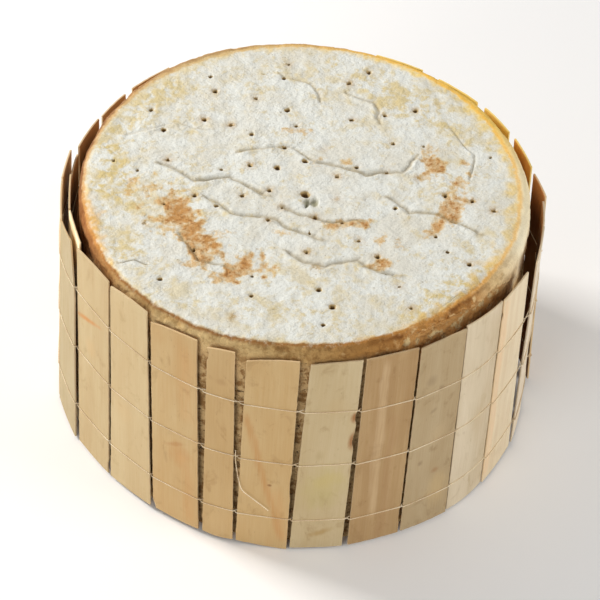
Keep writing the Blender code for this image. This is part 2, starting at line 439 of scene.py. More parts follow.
ochrePatches = (
    (-119, 6, 34, 14, -82, 0.95), (-110, 42, 26, 13, 68, 0.75), (-97, 80, 28, 12, 42, 0.8),
    (-80, 52, 24, 12, 20, 0.3), (-94, -20, 22, 16, -50, 0.6), (-106, -62, 22, 9, -50, 0.8),
    (-8, 98, 46, 13, 4, 0.5), (62, 84, 44, 16, -38, 0.8), (38, 56, 24, 12, -10, 0.35),
    (112, 40, 22, 10, -70, 0.3), (-10, -116, 60, 8, 0, 0.35), (98, -76, 34, 11, 46, 0.95), (-4, -104, 46, 14, 6, 0.5),
    (-62, -102, 30, 9, -34, 0.45), (-30, 34, 22, 10, 10, 0.3), (4, -78, 28, 13, 0, 0.4),
    (104, -50, 18, 8, 64, 0.6), (14, 60, 14, 8, 0, 0.35), (62, 10, 16, 9, 30, 0.25),
    (-76, -14, 26, 12, -34, 0.7), (84, 12, 26, 14, 70, 0.5),
)

# the rim, going round: azimuth, how far down the edge line lies, how far the fringe reaches in, roughness,
# then the colours of the fringe, the line and the wall under it
rimCourse = (
    (-180, 0.0, 5, 0.4, (236, 208, 146), (222, 180, 110), (212, 170, 106)),
    (-150, 0.5, 5, 0.4, (226, 210, 168), (216, 186, 132), (192, 158, 110)),
    (-125, 1.0, 7, 0.4, (222, 204, 158), (208, 172, 118), (170, 128, 82)),
    # painted shade: the walls from -104 to -66 are darkened for the shadow in the narrow gap against the slats
    (-104, 2.0, 3, 0.4, (224, 212, 178), (206, 170, 120), (142, 98, 58)),
    (-88, 3.0, 3, 0.4, (226, 210, 170), (204, 162, 110), (138, 92, 52)),
    (-78, 2.6, 9, 0.4, (224, 176, 94), (206, 150, 84), (156, 102, 54)),
    (-66, 3.0, 9, 0.4, (224, 174, 90), (198, 138, 72), (160, 106, 56)),
    (-56, 4.2, 4, 0.6, (224, 190, 122), (164, 112, 58), (182, 136, 80)),
    (-46, 4.2, 2, 0.8, (222, 202, 154), (146, 102, 54), (206, 178, 126)),
    (-20, 3.0, 2, 1.0, (222, 202, 154), (146, 102, 54), (210, 182, 130)),
    (0, 0.6, 3, 1.0, (218, 194, 144), (150, 104, 52), (182, 148, 94)),
    (15, 0.0, 3, 1.0, (220, 188, 128), (164, 112, 52), (160, 116, 60)),
    (27, 0.0, 4, 1.0, (224, 188, 120), (174, 120, 56), (168, 118, 60)),
    (34, -2.5, 4, 1.0, (228, 194, 126), (196, 142, 74), (184, 130, 66)),
    (50, -3.0, 6, 1.0, (228, 190, 114), (206, 150, 78), (186, 132, 70)),
    (60, -2.5, 9, 0.6, (230, 194, 118), (222, 172, 98), (226, 196, 144)),
    # partly painted highlight: the walls at 75 and 100 are the rind's own cream, brightened further as a painted
    # highlight
    (75, -1.0, 11, 0.15, (232, 206, 144), (234, 194, 128), (252, 240, 208)),
    (100, -1.0, 10, 0.1, (236, 208, 142), (238, 196, 124), (252, 234, 190)),
    (120, -0.5, 7, 0.2, (244, 212, 126), (250, 198, 94), (255, 216, 116)),
    (150, 0.0, 6, 0.3, (246, 212, 120), (250, 196, 84), (250, 200, 92)),
    (180, 0.0, 5, 0.4, (236, 208, 146), (222, 180, 110), (212, 170, 106)),
)

# where the skin has torn at the front right: azimuth, how far down it ends and how deep the wall lies there
tornCourse = (
    (24.0, 20.0, 0.0), (26.0, 12.0, 1.3), (27.2, 5.4, 1.9), (28.8, 4.8, 2.0), (29.4, 3.6, 2.0), (33.0, 4.4, 2.1),
    (34.2, 5.6, 2.0), (37.0, 4.2, 1.9), (41.0, 5.6, 1.9), (44.0, 6.2, 1.9), (48.0, 8.2, 1.8), (52.0, 9.6, 1.7),
    (56.0, 8.6, 1.6), (60.0, 11.5, 1.2), (66.0, 17.0, 0.0),
)


def wheelOutline():
    # rim, side, foot and base of the wheel as (distance, height) in millimetres
    top = cadHigh[2] / mm
    radius, rimRound, footRound = wheel["radius"], wheel["rimRound"], wheel["footRound"]
    outline = []
    for i in range(wheel["rimSteps"] + 1):
        angle = math.radians(90 - 90 * i / wheel["rimSteps"])
        outline.append((radius - rimRound + rimRound * math.cos(angle), top - rimRound + rimRound * math.sin(angle)))
    height = top - rimRound - wheel["fineStep"]
    while height > footRound + 3.0:
        share = (top - rimRound - height) / (top - rimRound - footRound)
        outline.append((radius - wheel["sideSag"] * math.sin(math.pi * share), height))
        height -= wheel["fineStep"] if height > wheel["fineTo"] else wheel["coarseStep"]
    for i in range(4):
        angle = math.radians(-30 * i)
        outline.append((radius - footRound + footRound * math.cos(angle), footRound + footRound * math.sin(angle)))
    outline += [(ring, 0.0) for ring in wheel["baseRings"]]
    return outline


def roundGrid(points):
    # turns a square grid of side 2 into a disc of radius 1, cell by cell of equal area
    x, y = points[:, 0], points[:, 1]
    wide = np.abs(x) >= np.abs(y)
    safeX = np.where(x == 0, 1.0, x)
    safeY = np.where(y == 0, 1.0, y)
    angle = np.where(wide, math.pi / 4 * y / safeX, math.pi / 2 - math.pi / 4 * x / safeY)
    reach = np.where(wide, x, y)
    return np.column_stack((reach * np.cos(angle), reach * np.sin(angle)))


def turnWheel():
    outline = wheelOutline()
    cells = wheel["topCells"]
    bpy.ops.mesh.primitive_grid_add(x_subdivisions=cells, y_subdivisions=cells, size=2.0)
    cheese = bpy.context.object
    points = readPoints(cheese.data)
    disc = roundGrid(points) * outline[0][0] * mm
    writePoints(cheese.data, np.column_stack((disc, np.full(len(disc), outline[0][1] * mm))))
    bpy.ops.object.mode_set(mode="EDIT")
    bpy.ops.mesh.select_mode(type="EDGE")
    bpy.ops.mesh.select_all(action="DESELECT")
    bpy.ops.mesh.select_non_manifold()
    for (radius, height), (nextRadius, nextHeight) in zip(outline, outline[1:]):
        bpy.ops.mesh.extrude_region_move(TRANSFORM_OT_translate={"value": (0.0, 0.0, (nextHeight - height) * mm)})
        grow = nextRadius / radius
        bpy.ops.transform.resize(value=(grow, grow, 1.0), center_override=(0.0, 0.0, 0.0))
    bpy.ops.mesh.merge(type="CENTER")
    bpy.ops.mesh.select_all(action="SELECT")
    bpy.ops.mesh.normals_make_consistent(inside=False)
    bpy.ops.object.mode_set(mode="OBJECT")
    return cheese


def creaseDistance(points, route):
    # distance to a bent line, on its left above zero, and how far along it
    nearest = np.full(len(points), 1.0)
    along = np.zeros(len(points))
    stops = [0.0]
    for (ax, ay), (bx, by) in zip(route, route[1:]):
        stops.append(stops[-1] + math.hypot(bx - ax, by - ay))
    for number, ((ax, ay), (bx, by)) in enumerate(zip(route, route[1:])):
        span = stops[number + 1] - stops[number]
        dx, dy = (bx - ax) / span, (by - ay) / span
        px, py = points[:, 0] / mm - ax, points[:, 1] / mm - ay
        reach = np.clip(px * dx + py * dy, 0.0, span)
        away = np.hypot(px - reach * dx, py - reach * dy)
        side = np.where(dx * py - dy * px >= 0, 1.0, -1.0)
        closer = away * mm < np.abs(nearest)
        nearest = np.where(closer, away * side * mm, nearest)
        along = np.where(closer, (stops[number] + reach) / stops[-1], along)
    return nearest, along


def wander(points, size, amount, seed):
    # moves points about in the plane so that lines and patches lose their straight edges
    moved = points.copy()
    moved[:, 0] += unevenness(points, size, seed) * amount
    moved[:, 1] += unevenness(points, size, seed + 1) * amount
    return moved


def creasePlace(points):
    return wander(wander(points, 22 * mm, 4.0 * mm, 3), 5 * mm, 0.7 * mm, 13)


def azimuthOf(points):
    return np.degrees(np.arctan2(points[:, 0], -points[:, 1]))


def rimPlace(points):
    # how far a point lies down the rounded edge, in millimetres; below zero on the top
    radius, height = np.hypot(points[:, 0], points[:, 1]) / mm, (points[:, 2] - cadHigh[2]) / mm
    rimRound = wheel["rimRound"]
    inner = wheel["radius"] - rimRound
    angle = np.arctan2(np.maximum(height + rimRound, 0.0), np.maximum(radius - inner, 1e-6))
    turned = rimRound * (math.pi / 2 - angle)
    down = np.where(height < -rimRound, rimRound * math.pi / 2 - rimRound - height, turned)
    return np.where((radius < inner) & (height > -rimRound), radius - inner, down)


def tornLedge(points):
    # how far below the torn edge of the skin a point lies, and how deep the wall is there
    azimuth = azimuthOf(points) + unevenness(points, 6 * mm, 61) * 1.2
    course = np.array(tornCourse)
    ends = np.interp(azimuth, course[:, 0], course[:, 1])
    deep = np.interp(azimuth, course[:, 0], course[:, 2])
    ends += unevenness(points, 5 * mm, 62) * 2.2 + unevenness(points, 1.9 * mm, 63) * 1.0
    return rimPlace(points) - ends, deep


def refineWhere(cheese, test):
    mesh = cheese.data
    centres = np.empty(len(mesh.polygons) * 3)
    mesh.polygons.foreach_get("center", centres)
    pickOnly(cheese)
    bpy.ops.object.mode_set(mode="EDIT")
    bpy.ops.mesh.select_mode(type="FACE")
    bpy.ops.mesh.select_all(action="DESELECT")
    bpy.ops.object.mode_set(mode="OBJECT")
    mesh.polygons.foreach_set("select", test(centres.reshape(-1, 3)))
    bpy.ops.object.mode_set(mode="EDIT")
    bpy.ops.mesh.subdivide(number_cuts=1, ngon=False)
    bpy.ops.object.mode_set(mode="OBJECT")


def nearCreases(reach):
    def test(centres):
        moved = creasePlace(centres)
        wanted = np.zeros(len(centres), dtype=bool)
        for route, width, *rest in creases:
            wanted |= np.abs(creaseDistance(moved, route)[0]) < reach * mm
        return wanted & (centres[:, 2] > cadHigh[2] - 1 * mm)
    return test


def nearTear(above, below):
    def test(centres):
        azimuth = azimuthOf(centres)
        distance, deep = tornLedge(centres)
        inside = (azimuth > 23) & (azimuth < 68) & (np.hypot(centres[:, 0], centres[:, 1]) > 0.12)
        return inside & (distance > -above) & (distance < below)
    return test


def shapeLikeFrame(points):
    # the same uneven outline as the plain wheel: a bulge at the back left and a worn rim at the front right
    x, y, z = points.T
    radius = np.maximum(np.hypot(x, y), 1e-9)
    azimuth = azimuthOf(points)
    apart = (azimuth - wheel["bulgeAt"] + 180.0) % 360.0 - 180.0
    bulge = wheel["bulge"] * np.exp(-(apart / wheel["bulgeSpread"]) ** 2)
    ripple = wheel["ripple"] * np.cos(np.radians(3 * azimuth + 40))
    inside = smoothStep(wheel["wornFrom"], wheel["wornFrom"] + 10, azimuth)
    inside *= 1.0 - smoothStep(wheel["wornTo"] - 12, wheel["wornTo"], azimuth)
    top, rimRound = cadHigh[2], wheel["rimRound"] * mm
    nearRim = smoothStep(top - 3 * rimRound, top - rimRound, z)
    nearRim *= smoothStep(wheel["radius"] * mm - 2 * rimRound, wheel["radius"] * mm - rimRound, radius)
    worn = wheel["worn"] * inside * nearRim
    grown = radius + ((bulge + ripple) * radius / (wheel["radius"] * mm) - worn) * mm
    return np.column_stack((x * grown / radius, y * grown / radius, z - 0.6 * worn * mm))


def patchMask(points, patches, softness=0.55):
    ragged = unevenness(points, 9 * mm, 21) * 0.8 + unevenness(points, 3.6 * mm, 22) * 0.8
    total = np.zeros(len(points))
    for x, y, length, width, turn, strength in patches:
        angle = math.radians(turn)
        px, py = points[:, 0] / mm - x, points[:, 1] / mm - y
        along = (px * math.cos(angle) + py * math.sin(angle)) / length
        across = (py * math.cos(angle) - px * math.sin(angle)) / width
        reach = np.hypot(along, across) + ragged
        total = np.maximum(total, strength * (1.0 - smoothStep(1.0 - softness, 1.0 + softness, reach)))
    return total


def placeHoles():
    # x, y and size of the needle holes, and how deep each one still is
    chance = random.Random(11)
    holes = []
    for radius, count, first in piercing["rings"]:
        for k in range(count):
            azimuth = first + 360.0 * k / count + chance.uniform(-1.0, 1.0) * 190.0 / radius
            reach = radius + chance.uniform(-1.0, 1.0) * piercing["jitter"]
            size = chance.uniform(piercing["narrow"], piercing["wide"])
            deep = 0.13 if chance.random() < piercing["shallow"] else chance.uniform(0.8, 1.1)
            place = polar(azimuth, reach, 0.0)
            if math.hypot(place.x - coreHole["place"][0], place.y - coreHole["place"][1]) > 10:
                holes.append((place.x, place.y, size, deep))
    return holes + [(*coreHole["place"], coreHole["size"], coreHole["deep"])]


def topRelief(points, holes):
    x, y, z = points.T / mm
    radius = np.hypot(x, y)
    onTop = smoothStep(cadHigh[2] / mm - 3, cadHigh[2] / mm - 1, z) * (radius < 134.5)
    fade = onTop * (1.0 - smoothStep(127, 133.5, radius))
    relief = unevenness(points, 46 * mm, 1) * 0.9
    relief += unevenness(points, 13 * mm, 2) * 0.6
    relief += unevenness(points, 5.5 * mm, 4, 2) * 0.5
    moved = creasePlace(points)
    for route, width, depth, lip, step in creases:
        away, along = creaseDistance(moved, route)
        away /= mm
        ends = smoothStep(0.0, 0.06, along) * (1.0 - smoothStep(0.92, 1.0, along))
        ends *= 0.6 + 0.4 * smoothStep(-0.25, 0.2, unevenness(points, 15 * mm, 6))
        groove = -depth * np.exp(-(away / (0.7 * width)) ** 2)
        ridge = lip * np.exp(-((away + 1.75 * width) / (0.85 * width)) ** 2)
        second = 0.4 * lip * np.exp(-((away - 1.7 * width) / (0.8 * width)) ** 2)
        shelf = -step * np.where(away > 0, np.exp(-away / 9.0), 0.0) * smoothStep(-0.4, 0.6, away)
        relief += (groove + ridge + second + shelf) * ends
    for hx, hy, size, deep in holes:
        away = np.hypot(x - hx, y - hy)
        near = away < 7
        relief[near] -= 0.35 * size * np.exp(-(away[near] / (2.6 * size)) ** 2)
        relief[near] += 0.12 * np.exp(-((away[near] - 4.0 * size) / 1.2) ** 2)
    for cx, cy, wide, high in tornCurd["places"]:
        scoop = np.hypot((x - cx) / wide, (y - cy) / high) + unevenness(points, 2.5 * mm, 8) * 0.6
        relief -= tornCurd["depth"] * (1.0 - smoothStep(0.5, 1.1, scoop))
    rust = patchMask(points, rustPatches)
    relief -= rust * 0.3
    relief += rust * unevenness(points, 2.6 * mm, 9, 2) * 0.5
    return relief * fade


def rimRelief(points):
    place = rimPlace(points)
    azimuth = azimuthOf(points)
    course = np.array([row[:4] for row in rimCourse], dtype=float)
    rough = 0.35 + 0.65 * np.interp(azimuth, course[:, 0], course[:, 3])
    onRim = smoothStep(-5.0, 0.0, place) * (1.0 - smoothStep(14.0, 24.0, place)) * rough
    distance, deep = tornLedge(points)
    relief = onRim * unevenness(points, 16 * mm, 31) * 1.0
    relief += onRim * unevenness(points, 5 * mm, 32, 3) * 0.5
    side = smoothStep(10.0, 16.0, place) * smoothStep(2 * mm, 9 * mm, points[:, 2])
    relief += side * unevenness(points, 24 * mm, 33) * 1.1
    relief += side * unevenness(points, 7 * mm, 34, 3) * 0.9
    # the skin ends in a curled lip above the bare, crumbly wall
    recover = 1.0 - smoothStep(24.0, 36.0, place)
    relief -= deep * smoothStep(0.0, 0.8, distance) * recover
    here = deep / 2.0 * (place > -4.0)
    relief += here * 0.55 * np.exp(-((distance + 0.7) / 0.8) ** 2)
    relief += here * smoothStep(0.5, 1.5, distance) * recover * unevenness(points, 2.6 * mm, 36, 2) * 0.9
    # one dark crack near the right end of the tear
    crack = place - np.interp(azimuth, (55.0, 58.0, 61.0, 64.0), (13.0, 9.5, 8.0, 4.0))
    crack += unevenness(points, 4 * mm, 38) * 2.0
    inside = smoothStep(54.0, 56.0, azimuth) * (1.0 - smoothStep(63.0, 65.0, azimuth))
    relief -= 1.7 * np.exp(-(crack / 0.6) ** 2) * inside
    # small nicks elsewhere along the edge
    nick = smoothStep(0.22, 0.34, unevenness(points * np.array((1.0, 1.0, 0.5)), 6 * mm, 39))
    relief -= nick * onRim * 0.7 * (1.0 - smoothStep(0.0, 1.0, deep))
    # long shallow scrapes run round the edge
    scrape = unevenness(np.column_stack((azimuth * 0.35 * mm, place * mm, place * 0.0)), 1.6 * mm, 42)
    relief += onRim * scrape * 0.35
    return relief


def makeNeedles(holes):
    # the needle's print is modelled once and copied to every hole
    clearSelection()
    outline = piercing["print"]
    bpy.ops.mesh.primitive_circle_add(vertices=piercing["corners"], radius=outline[0][1] * mm, fill_type="NGON",
                                      location=(0.0, 0.0, outline[0][0] * mm))
    needle = bpy.context.object
    bpy.ops.object.transform_apply(location=True)
    bpy.ops.object.mode_set(mode="EDIT")
    bpy.ops.mesh.select_all(action="SELECT")
    for (height, radius), (nextHeight, nextRadius) in zip(outline, outline[1:]):
        rise = (nextHeight - height) * mm
        bpy.ops.mesh.extrude_region_move(TRANSFORM_OT_translate={"value": (0.0, 0.0, rise)})
        grow = nextRadius / radius
        bpy.ops.transform.resize(value=(grow, grow, 1.0), center_override=(0.0, 0.0, 0.0))
    bpy.ops.mesh.select_all(action="SELECT")
    bpy.ops.mesh.normals_make_consistent(inside=False)
    bpy.ops.object.mode_set(mode="OBJECT")
    copies = []
    for x, y, size, deep in holes:
        pickOnly(needle)
        bpy.ops.object.duplicate()
        copy = bpy.context.object
        copy.location = (x * mm, y * mm, cadHigh[2])
        copy.scale = (size, size, deep)
        copies.append(copy)
    bpy.data.objects.remove(needle, do_unlink=True)
    clearSelection()
    for copy in copies:
        copy.select_set(True)
    bpy.context.view_layer.objects.active = copies[0]
    bpy.ops.object.join()
    needles = bpy.context.object
    bpy.ops.object.transform_apply(location=True, rotation=True, scale=True)
    writePoints(needles.data, wander(readPoints(needles.data), 1.5 * mm, 0.7 * mm, 41))
    return needles


def paintColors(mesh, name, colors):
    layer = mesh.attributes.new(name, "FLOAT_COLOR", "POINT")
    values = np.ones((len(colors), 4), dtype=np.float32)
    values[:, :3] = colors
    layer.data.foreach_set("color", values.ravel())


def paintCheese(mesh, holes):
    points = readPoints(mesh)
    x, y, z = points.T / mm
    top = cadHigh[2] / mm
    radius, azimuth, place = np.hypot(x, y), azimuthOf(points), rimPlace(points)
    onTop = smoothStep(top - 6, top - 2, z)
    paintPoints(mesh, "rust", patchMask(points, rustPatches) * onTop)
    ochre = patchMask(points, ochrePatches, 0.6)
    band = smoothStep(-14.0, 0.0, place + unevenness(points, 12 * mm, 51) * 10)
    ochre = np.maximum(ochre, band * (0.3 + 0.8 * unevenness(points, 20 * mm, 52)))
    paintPoints(mesh, "ochre", np.clip(ochre, 0.0, 1.0) * onTop)
    halo = np.zeros(len(points))
    nearHole = np.zeros(len(points))
    chance = random.Random(5)
    for hx, hy, size, deep in holes:
        away = np.hypot(x - hx, y - hy)
        halo = np.maximum(halo, chance.uniform(0.0, 1.2) ** 2 * np.exp(-(away / 3.2) ** 2))
        nearHole = np.maximum(nearHole, 1.0 - smoothStep(1.9 * size, 2.5 * size, away))
    paintPoints(mesh, "halo", halo * onTop)
    sunk = (top + topRelief(points * np.array((1.0, 1.0, 0.0)) + np.array((0.0, 0.0, cadHigh[2])), holes)) - z
    paintPoints(mesh, "pit", nearHole * smoothStep(0.15, 2.2, sunk) * (radius < 130))
    # painted shade along the bottom of each crease groove
    creaseShade = np.zeros(len(points))
    moved = creasePlace(points)
    for route, width, depth, lip, step in creases:
        away, along = creaseDistance(moved, route)
        creaseShade = np.maximum(creaseShade, np.exp(-(away / mm / (0.7 * width)) ** 2) * min(depth, 1.0))
    paintPoints(mesh, "creaseShade", creaseShade * onTop * (radius < 134))
    curd = np.zeros(len(points))
    for cx, cy, wide, high in tornCurd["places"]:
        curd = np.maximum(curd, 1.0 - smoothStep(0.6, 1.1, np.hypot((x - cx) / wide, (y - cy) / high)))
    paintPoints(mesh, "curd", curd * onTop)
    stops = [row[0] for row in rimCourse]
    down, reach, rough = (np.interp(azimuth, stops, [row[i] for row in rimCourse]) for i in (1, 2, 3))
    paintPoints(mesh, "edgePlace", np.clip(place - down, -20, 40))
    paintPoints(mesh, "edgeRough", rough)
    ragged = unevenness(points, 9 * mm, 53) * 0.9 + unevenness(points, 3.5 * mm, 54) * 0.5
    paintPoints(mesh, "edgeFringe", smoothStep(-1.0, 0.0, (place - down) / reach + ragged))
    for name, column in (("fringeColor", 4), ("lineColor", 5), ("wallColor", 6)):
        tones = [cardColor(*row[column]) for row in rimCourse]
        colors = [np.interp(azimuth, stops, [tone[i] for tone in tones]) for i in range(3)]
        paintColors(mesh, name, np.column_stack(colors))
    distance, deep = tornLedge(points)
    bare = smoothStep(0.0, 1.0, distance) * smoothStep(0.2, 1.2, deep) * (place > -2)
    paintPoints(mesh, "bare", bare)
    lip = np.exp(-((distance + 0.6) / 0.9) ** 2) * smoothStep(0.2, 1.2, deep) * (place > -2)
    lip *= smoothStep(0.0, 0.35, unevenness(points, 4 * mm, 64))
    crumbs = (azimuth > 50.5) & (azimuth < 58) & (place > 1) & (place < 8)
    lip = np.maximum(lip * 0.7, crumbs * smoothStep(0.12, 0.4, unevenness(points, 4.5 * mm, 65)))
    paintPoints(mesh, "crumb", lip)


cheeseLook = {
    "chalk": (229, 230, 223),
    "cream": (221, 217, 203),
    "ochre": (215, 194, 136),
    "rustPale": (216, 184, 130),
    "rust": (196, 144, 84),
    "rustDark": (150, 100, 54),
    "halo": (186, 152, 96),
    "pitWall": (194, 170, 122),
    "pitFloor": (136, 106, 66),
    "curd": (164, 160, 134),
    "side": (200, 168, 118),
    "sideBrown": (140, 104, 60),
    "poreShade": (54, 36, 20),
    "bare": (184, 136, 78),
    "barePale": (214, 190, 140),
    "crumb": (226, 192, 138),
    "creaseShade": (168, 150, 112),
    "pepper": (150, 134, 104),
}


def clothRipple():
    # two crossing sets of fine ridges that the wrapping cloth has left, broken up in patches
    tree, inside, outside = newGroup(
        "clothRipple",
        [("Place", "NodeSocketVector", None), ("Ridges per metre", "NodeSocketFloat", 430.0)],
        [("Height", "NodeSocketFloat")])
    place = inside.outputs["Place"]
    drift = noiseOf(tree, place, 120.0, 2.0)
    total = None
    for turn, seed in ((38.0, 0.0), (-52.0, 5.0)):
        line = stretchedPlace(tree, place, (1.0, 1.0, 1.0), turn)
        across = addNode(tree, "ShaderNodeSeparateXYZ", Vector=line).outputs[0]
        phase = mathOf(tree, "MULTIPLY", across, inside.outputs["Ridges per metre"])
        phase = mathOf(tree, "MULTIPLY_ADD", drift, 2.2, phase)
        wave = mathOf(tree, "SINE", mathOf(tree, "MULTIPLY", phase, 2 * math.pi))
        patch = stretchedPlace(tree, place, (1.0, 1.0, 1.0), 0.0, (seed, seed, 0.0))
        amount = rangeOf(tree, noiseOf(tree, patch, 60.0, 3.0), 0.36, 0.62)
        wave = mathOf(tree, "MULTIPLY", wave, amount)
        total = wave if total is None else mathOf(tree, "ADD", total, wave)
    setSocket(tree, outside.inputs["Height"], total)
    return tree


def makeCheeseMaterial():
    look = {name: cardColor(*values) for name, values in cheeseLook.items()}
    material, tree, shader = newMaterial("cheeseRind")
    place = addNode(tree, "ShaderNodeTexCoord").outputs["Object"]
    grain = noiseOf(tree, place, 1100.0, 4.0, 0.65)
    bumps = noiseOf(tree, place, 380.0, 3.0, 0.55)
    mottle = noiseOf(tree, place, 190.0, 4.0, 0.6)
    broad = noiseOf(tree, place, 45.0, 4.0, 0.6, 0.6)
    dry = noiseOf(tree, stretchedPlace(tree, place, (1, 1, 1), 0, (3, 1, 2)), 95.0, 5.0, 0.68)

    # chalky top
    top = mixOf(tree, rangeOf(tree, broad, 0.38, 0.62, 0.0, 0.75), look["chalk"], look["cream"])
    top = mixOf(tree, rangeOf(tree, dry, 0.48, 0.64, 0.0, 0.7), top, look["cream"])
    freckle = mathOf(tree, "MULTIPLY", rangeOf(tree, dry, 0.50, 0.66), rangeOf(tree, mottle, 0.46, 0.62, 0.0, 0.55))
    top = mixOf(tree, freckle, top, look["ochre"])
    cloudy = mathOf(tree, "MULTIPLY_ADD", mathOf(tree, "SUBTRACT", broad, 0.5), 1.3, mottle)
    ochreMask = mathOf(tree, "MULTIPLY", paintedMask(tree, "ochre"), rangeOf(tree, cloudy, 0.38, 0.64, 0.0, 1.0))
    top = mixOf(tree, ochreMask, top, look["ochre"])
    rust = paintedMask(tree, "rust")
    soft = mathOf(tree, "MULTIPLY_ADD", mathOf(tree, "SUBTRACT", dry, 0.52), 2.4, rust)
    soft = mathOf(tree, "MULTIPLY_ADD", mathOf(tree, "SUBTRACT", bumps, 0.5), 0.9, soft)
    covered = rangeOf(tree, rust, 0.0, 0.15)
    pale = mathOf(tree, "MULTIPLY", rangeOf(tree, soft, 0.1, 0.7, 0.0, 0.8), covered)
    top = mixOf(tree, pale, top, look["rustPale"])
    top = mixOf(tree, mathOf(tree, "MULTIPLY", rangeOf(tree, soft, 0.5, 1.15), covered), top, look["rust"])
    rustSpeck = mathOf(tree, "MULTIPLY", rangeOf(tree, soft, 0.6, 1.1), rangeOf(tree, bumps, 0.5, 0.66, 0.0, 0.6))
    top = mixOf(tree, mathOf(tree, "MULTIPLY", rustSpeck, covered), top, look["rustDark"])
    halo = mathOf(tree, "MULTIPLY", paintedMask(tree, "halo"), rangeOf(tree, bumps, 0.35, 0.6, 0.3, 1.0))
    top = mixOf(tree, mathOf(tree, "MULTIPLY", halo, 0.8), top, look["halo"])
    # painted shade in the crease grooves
    top = mixOf(tree, mathOf(tree, "MULTIPLY", paintedMask(tree, "creaseShade"), 0.6), top, look["creaseShade"])
    top = mixOf(tree, paintedMask(tree, "curd"), top, look["curd"])
    pepper = noiseOf(tree, stretchedPlace(tree, place, (1, 1, 1), 0, (5, 2, 4)), 520.0, 2.0, 0.5)
    pepperMask = mathOf(tree, "MULTIPLY", rangeOf(tree, pepper, 0.66, 0.76, 0.0, 0.7), rangeOf(tree, dry, 0.45, 0.55))
    top = mixOf(tree, pepperMask, top, look["pepper"])

    # edge: fringe, line and wall, with ragged borders
    rough = paintedMask(tree, "edgeRough")
    ragged = mathOf(tree, "MULTIPLY", mathOf(tree, "SUBTRACT", broad, 0.5), 4.5)
    ragged = mathOf(tree, "MULTIPLY_ADD", mathOf(tree, "SUBTRACT", mottle, 0.5), 3.0, ragged)
    edge = mathOf(tree, "ADD", paintedMask(tree, "edgePlace"), ragged)
    fringe, line, wall = (addNode(tree, "ShaderNodeAttribute", {"attribute_name": name}).outputs["Color"]
                          for name in ("fringeColor", "lineColor", "wallColor"))
    fringeMask = mathOf(tree, "MULTIPLY", paintedMask(tree, "edgeFringe"), rangeOf(tree, mottle, 0.3, 0.6, 0.55, 1.0))
    color = mixOf(tree, mathOf(tree, "MULTIPLY", fringeMask, 0.9), top, fringe)
    lineMask = mathOf(tree, "MULTIPLY", rangeOf(tree, edge, -1.4, 0.8), rangeOf(tree, bumps, 0.25, 0.5, 0.6, 1.0))
    color = mixOf(tree, lineMask, color, line)
    spots = mathOf(tree, "MULTIPLY", rangeOf(tree, dry, 0.47, 0.62, 0.0, 0.8), rough)
    wall = mixOf(tree, spots, wall, mixOf(tree, 1.0, wall, (0.55, 0.46, 0.34, 1.0), "MULTIPLY"))
    wall = mixOf(tree, mathOf(tree, "MULTIPLY", rangeOf(tree, mottle, 0.52, 0.7, 0.0, 0.3), rough), wall, look["crumb"])
    darker = mathOf(tree, "MULTIPLY", rangeOf(tree, edge, 1.0, 3.4), rangeOf(tree, edge, 7.0, 3.8))
    darker = mathOf(tree, "MULTIPLY", mathOf(tree, "MULTIPLY", darker, rough), rangeOf(tree, broad, 0.4, 0.6, 0.1, 0.8))
    color = mixOf(tree, rangeOf(tree, edge, 0.8, 3.4), color, wall)
    color = mixOf(tree, darker, color, mixOf(tree, 1.0, color, (0.62, 0.50, 0.34, 1.0), "MULTIPLY"))

    # side between the slats
    side = mixOf(tree, rangeOf(tree, mottle, 0.42, 0.62), look["side"], look["sideBrown"])
    # pores on the side: shallow dents in the bump, with near-black spots painted in them as shade
    pores = noiseOf(tree, stretchedPlace(tree, place, (1, 1, 1.6)), 190.0, 5.0, 0.7, 0.8)
    poreMask = rangeOf(tree, pores, 0.61, 0.68)
    side = mixOf(tree, poreMask, side, look["poreShade"])
    lower = mathOf(tree, "MULTIPLY", rangeOf(tree, paintedMask(tree, "edgePlace"), 9.0, 19.0),
                   rangeOf(tree, rough, 0.1, 0.6, 0.25, 1.0))
    lower = mathOf(tree, "MAXIMUM", lower, rangeOf(tree, paintedMask(tree, "edgePlace"), 22.0, 34.0))
    color = mixOf(tree, lower, color, side)

    bare = mixOf(tree, rangeOf(tree, mottle, 0.48, 0.64), look["bare"], look["barePale"])
    bare = mixOf(tree, rangeOf(tree, bumps, 0.58, 0.7, 0.0, 0.8), bare, look["sideBrown"])
    color = mixOf(tree, paintedMask(tree, "bare"), color, bare)
    color = mixOf(tree, paintedMask(tree, "crumb"), color, look["crumb"])
    pit = paintedMask(tree, "pit")
    color = mixOf(tree, rangeOf(tree, pit, 0.0, 0.35), color, look["pitWall"])
    color = mixOf(tree, rangeOf(tree, pit, 0.35, 1.0), color, look["pitFloor"])
    color = mixOf(tree, rangeOf(tree, grain, 0.42, 0.7, 0.0, 0.18), color, (0.42, 0.36, 0.24, 1.0), "MULTIPLY")
    setSocket(tree, shader.inputs["Base Color"], color)
    setSocket(tree, shader.inputs["Roughness"], rangeOf(tree, mottle, 0.3, 0.7, 0.78, 0.95))
    shader.inputs["Specular IOR Level"].default_value = 0.25

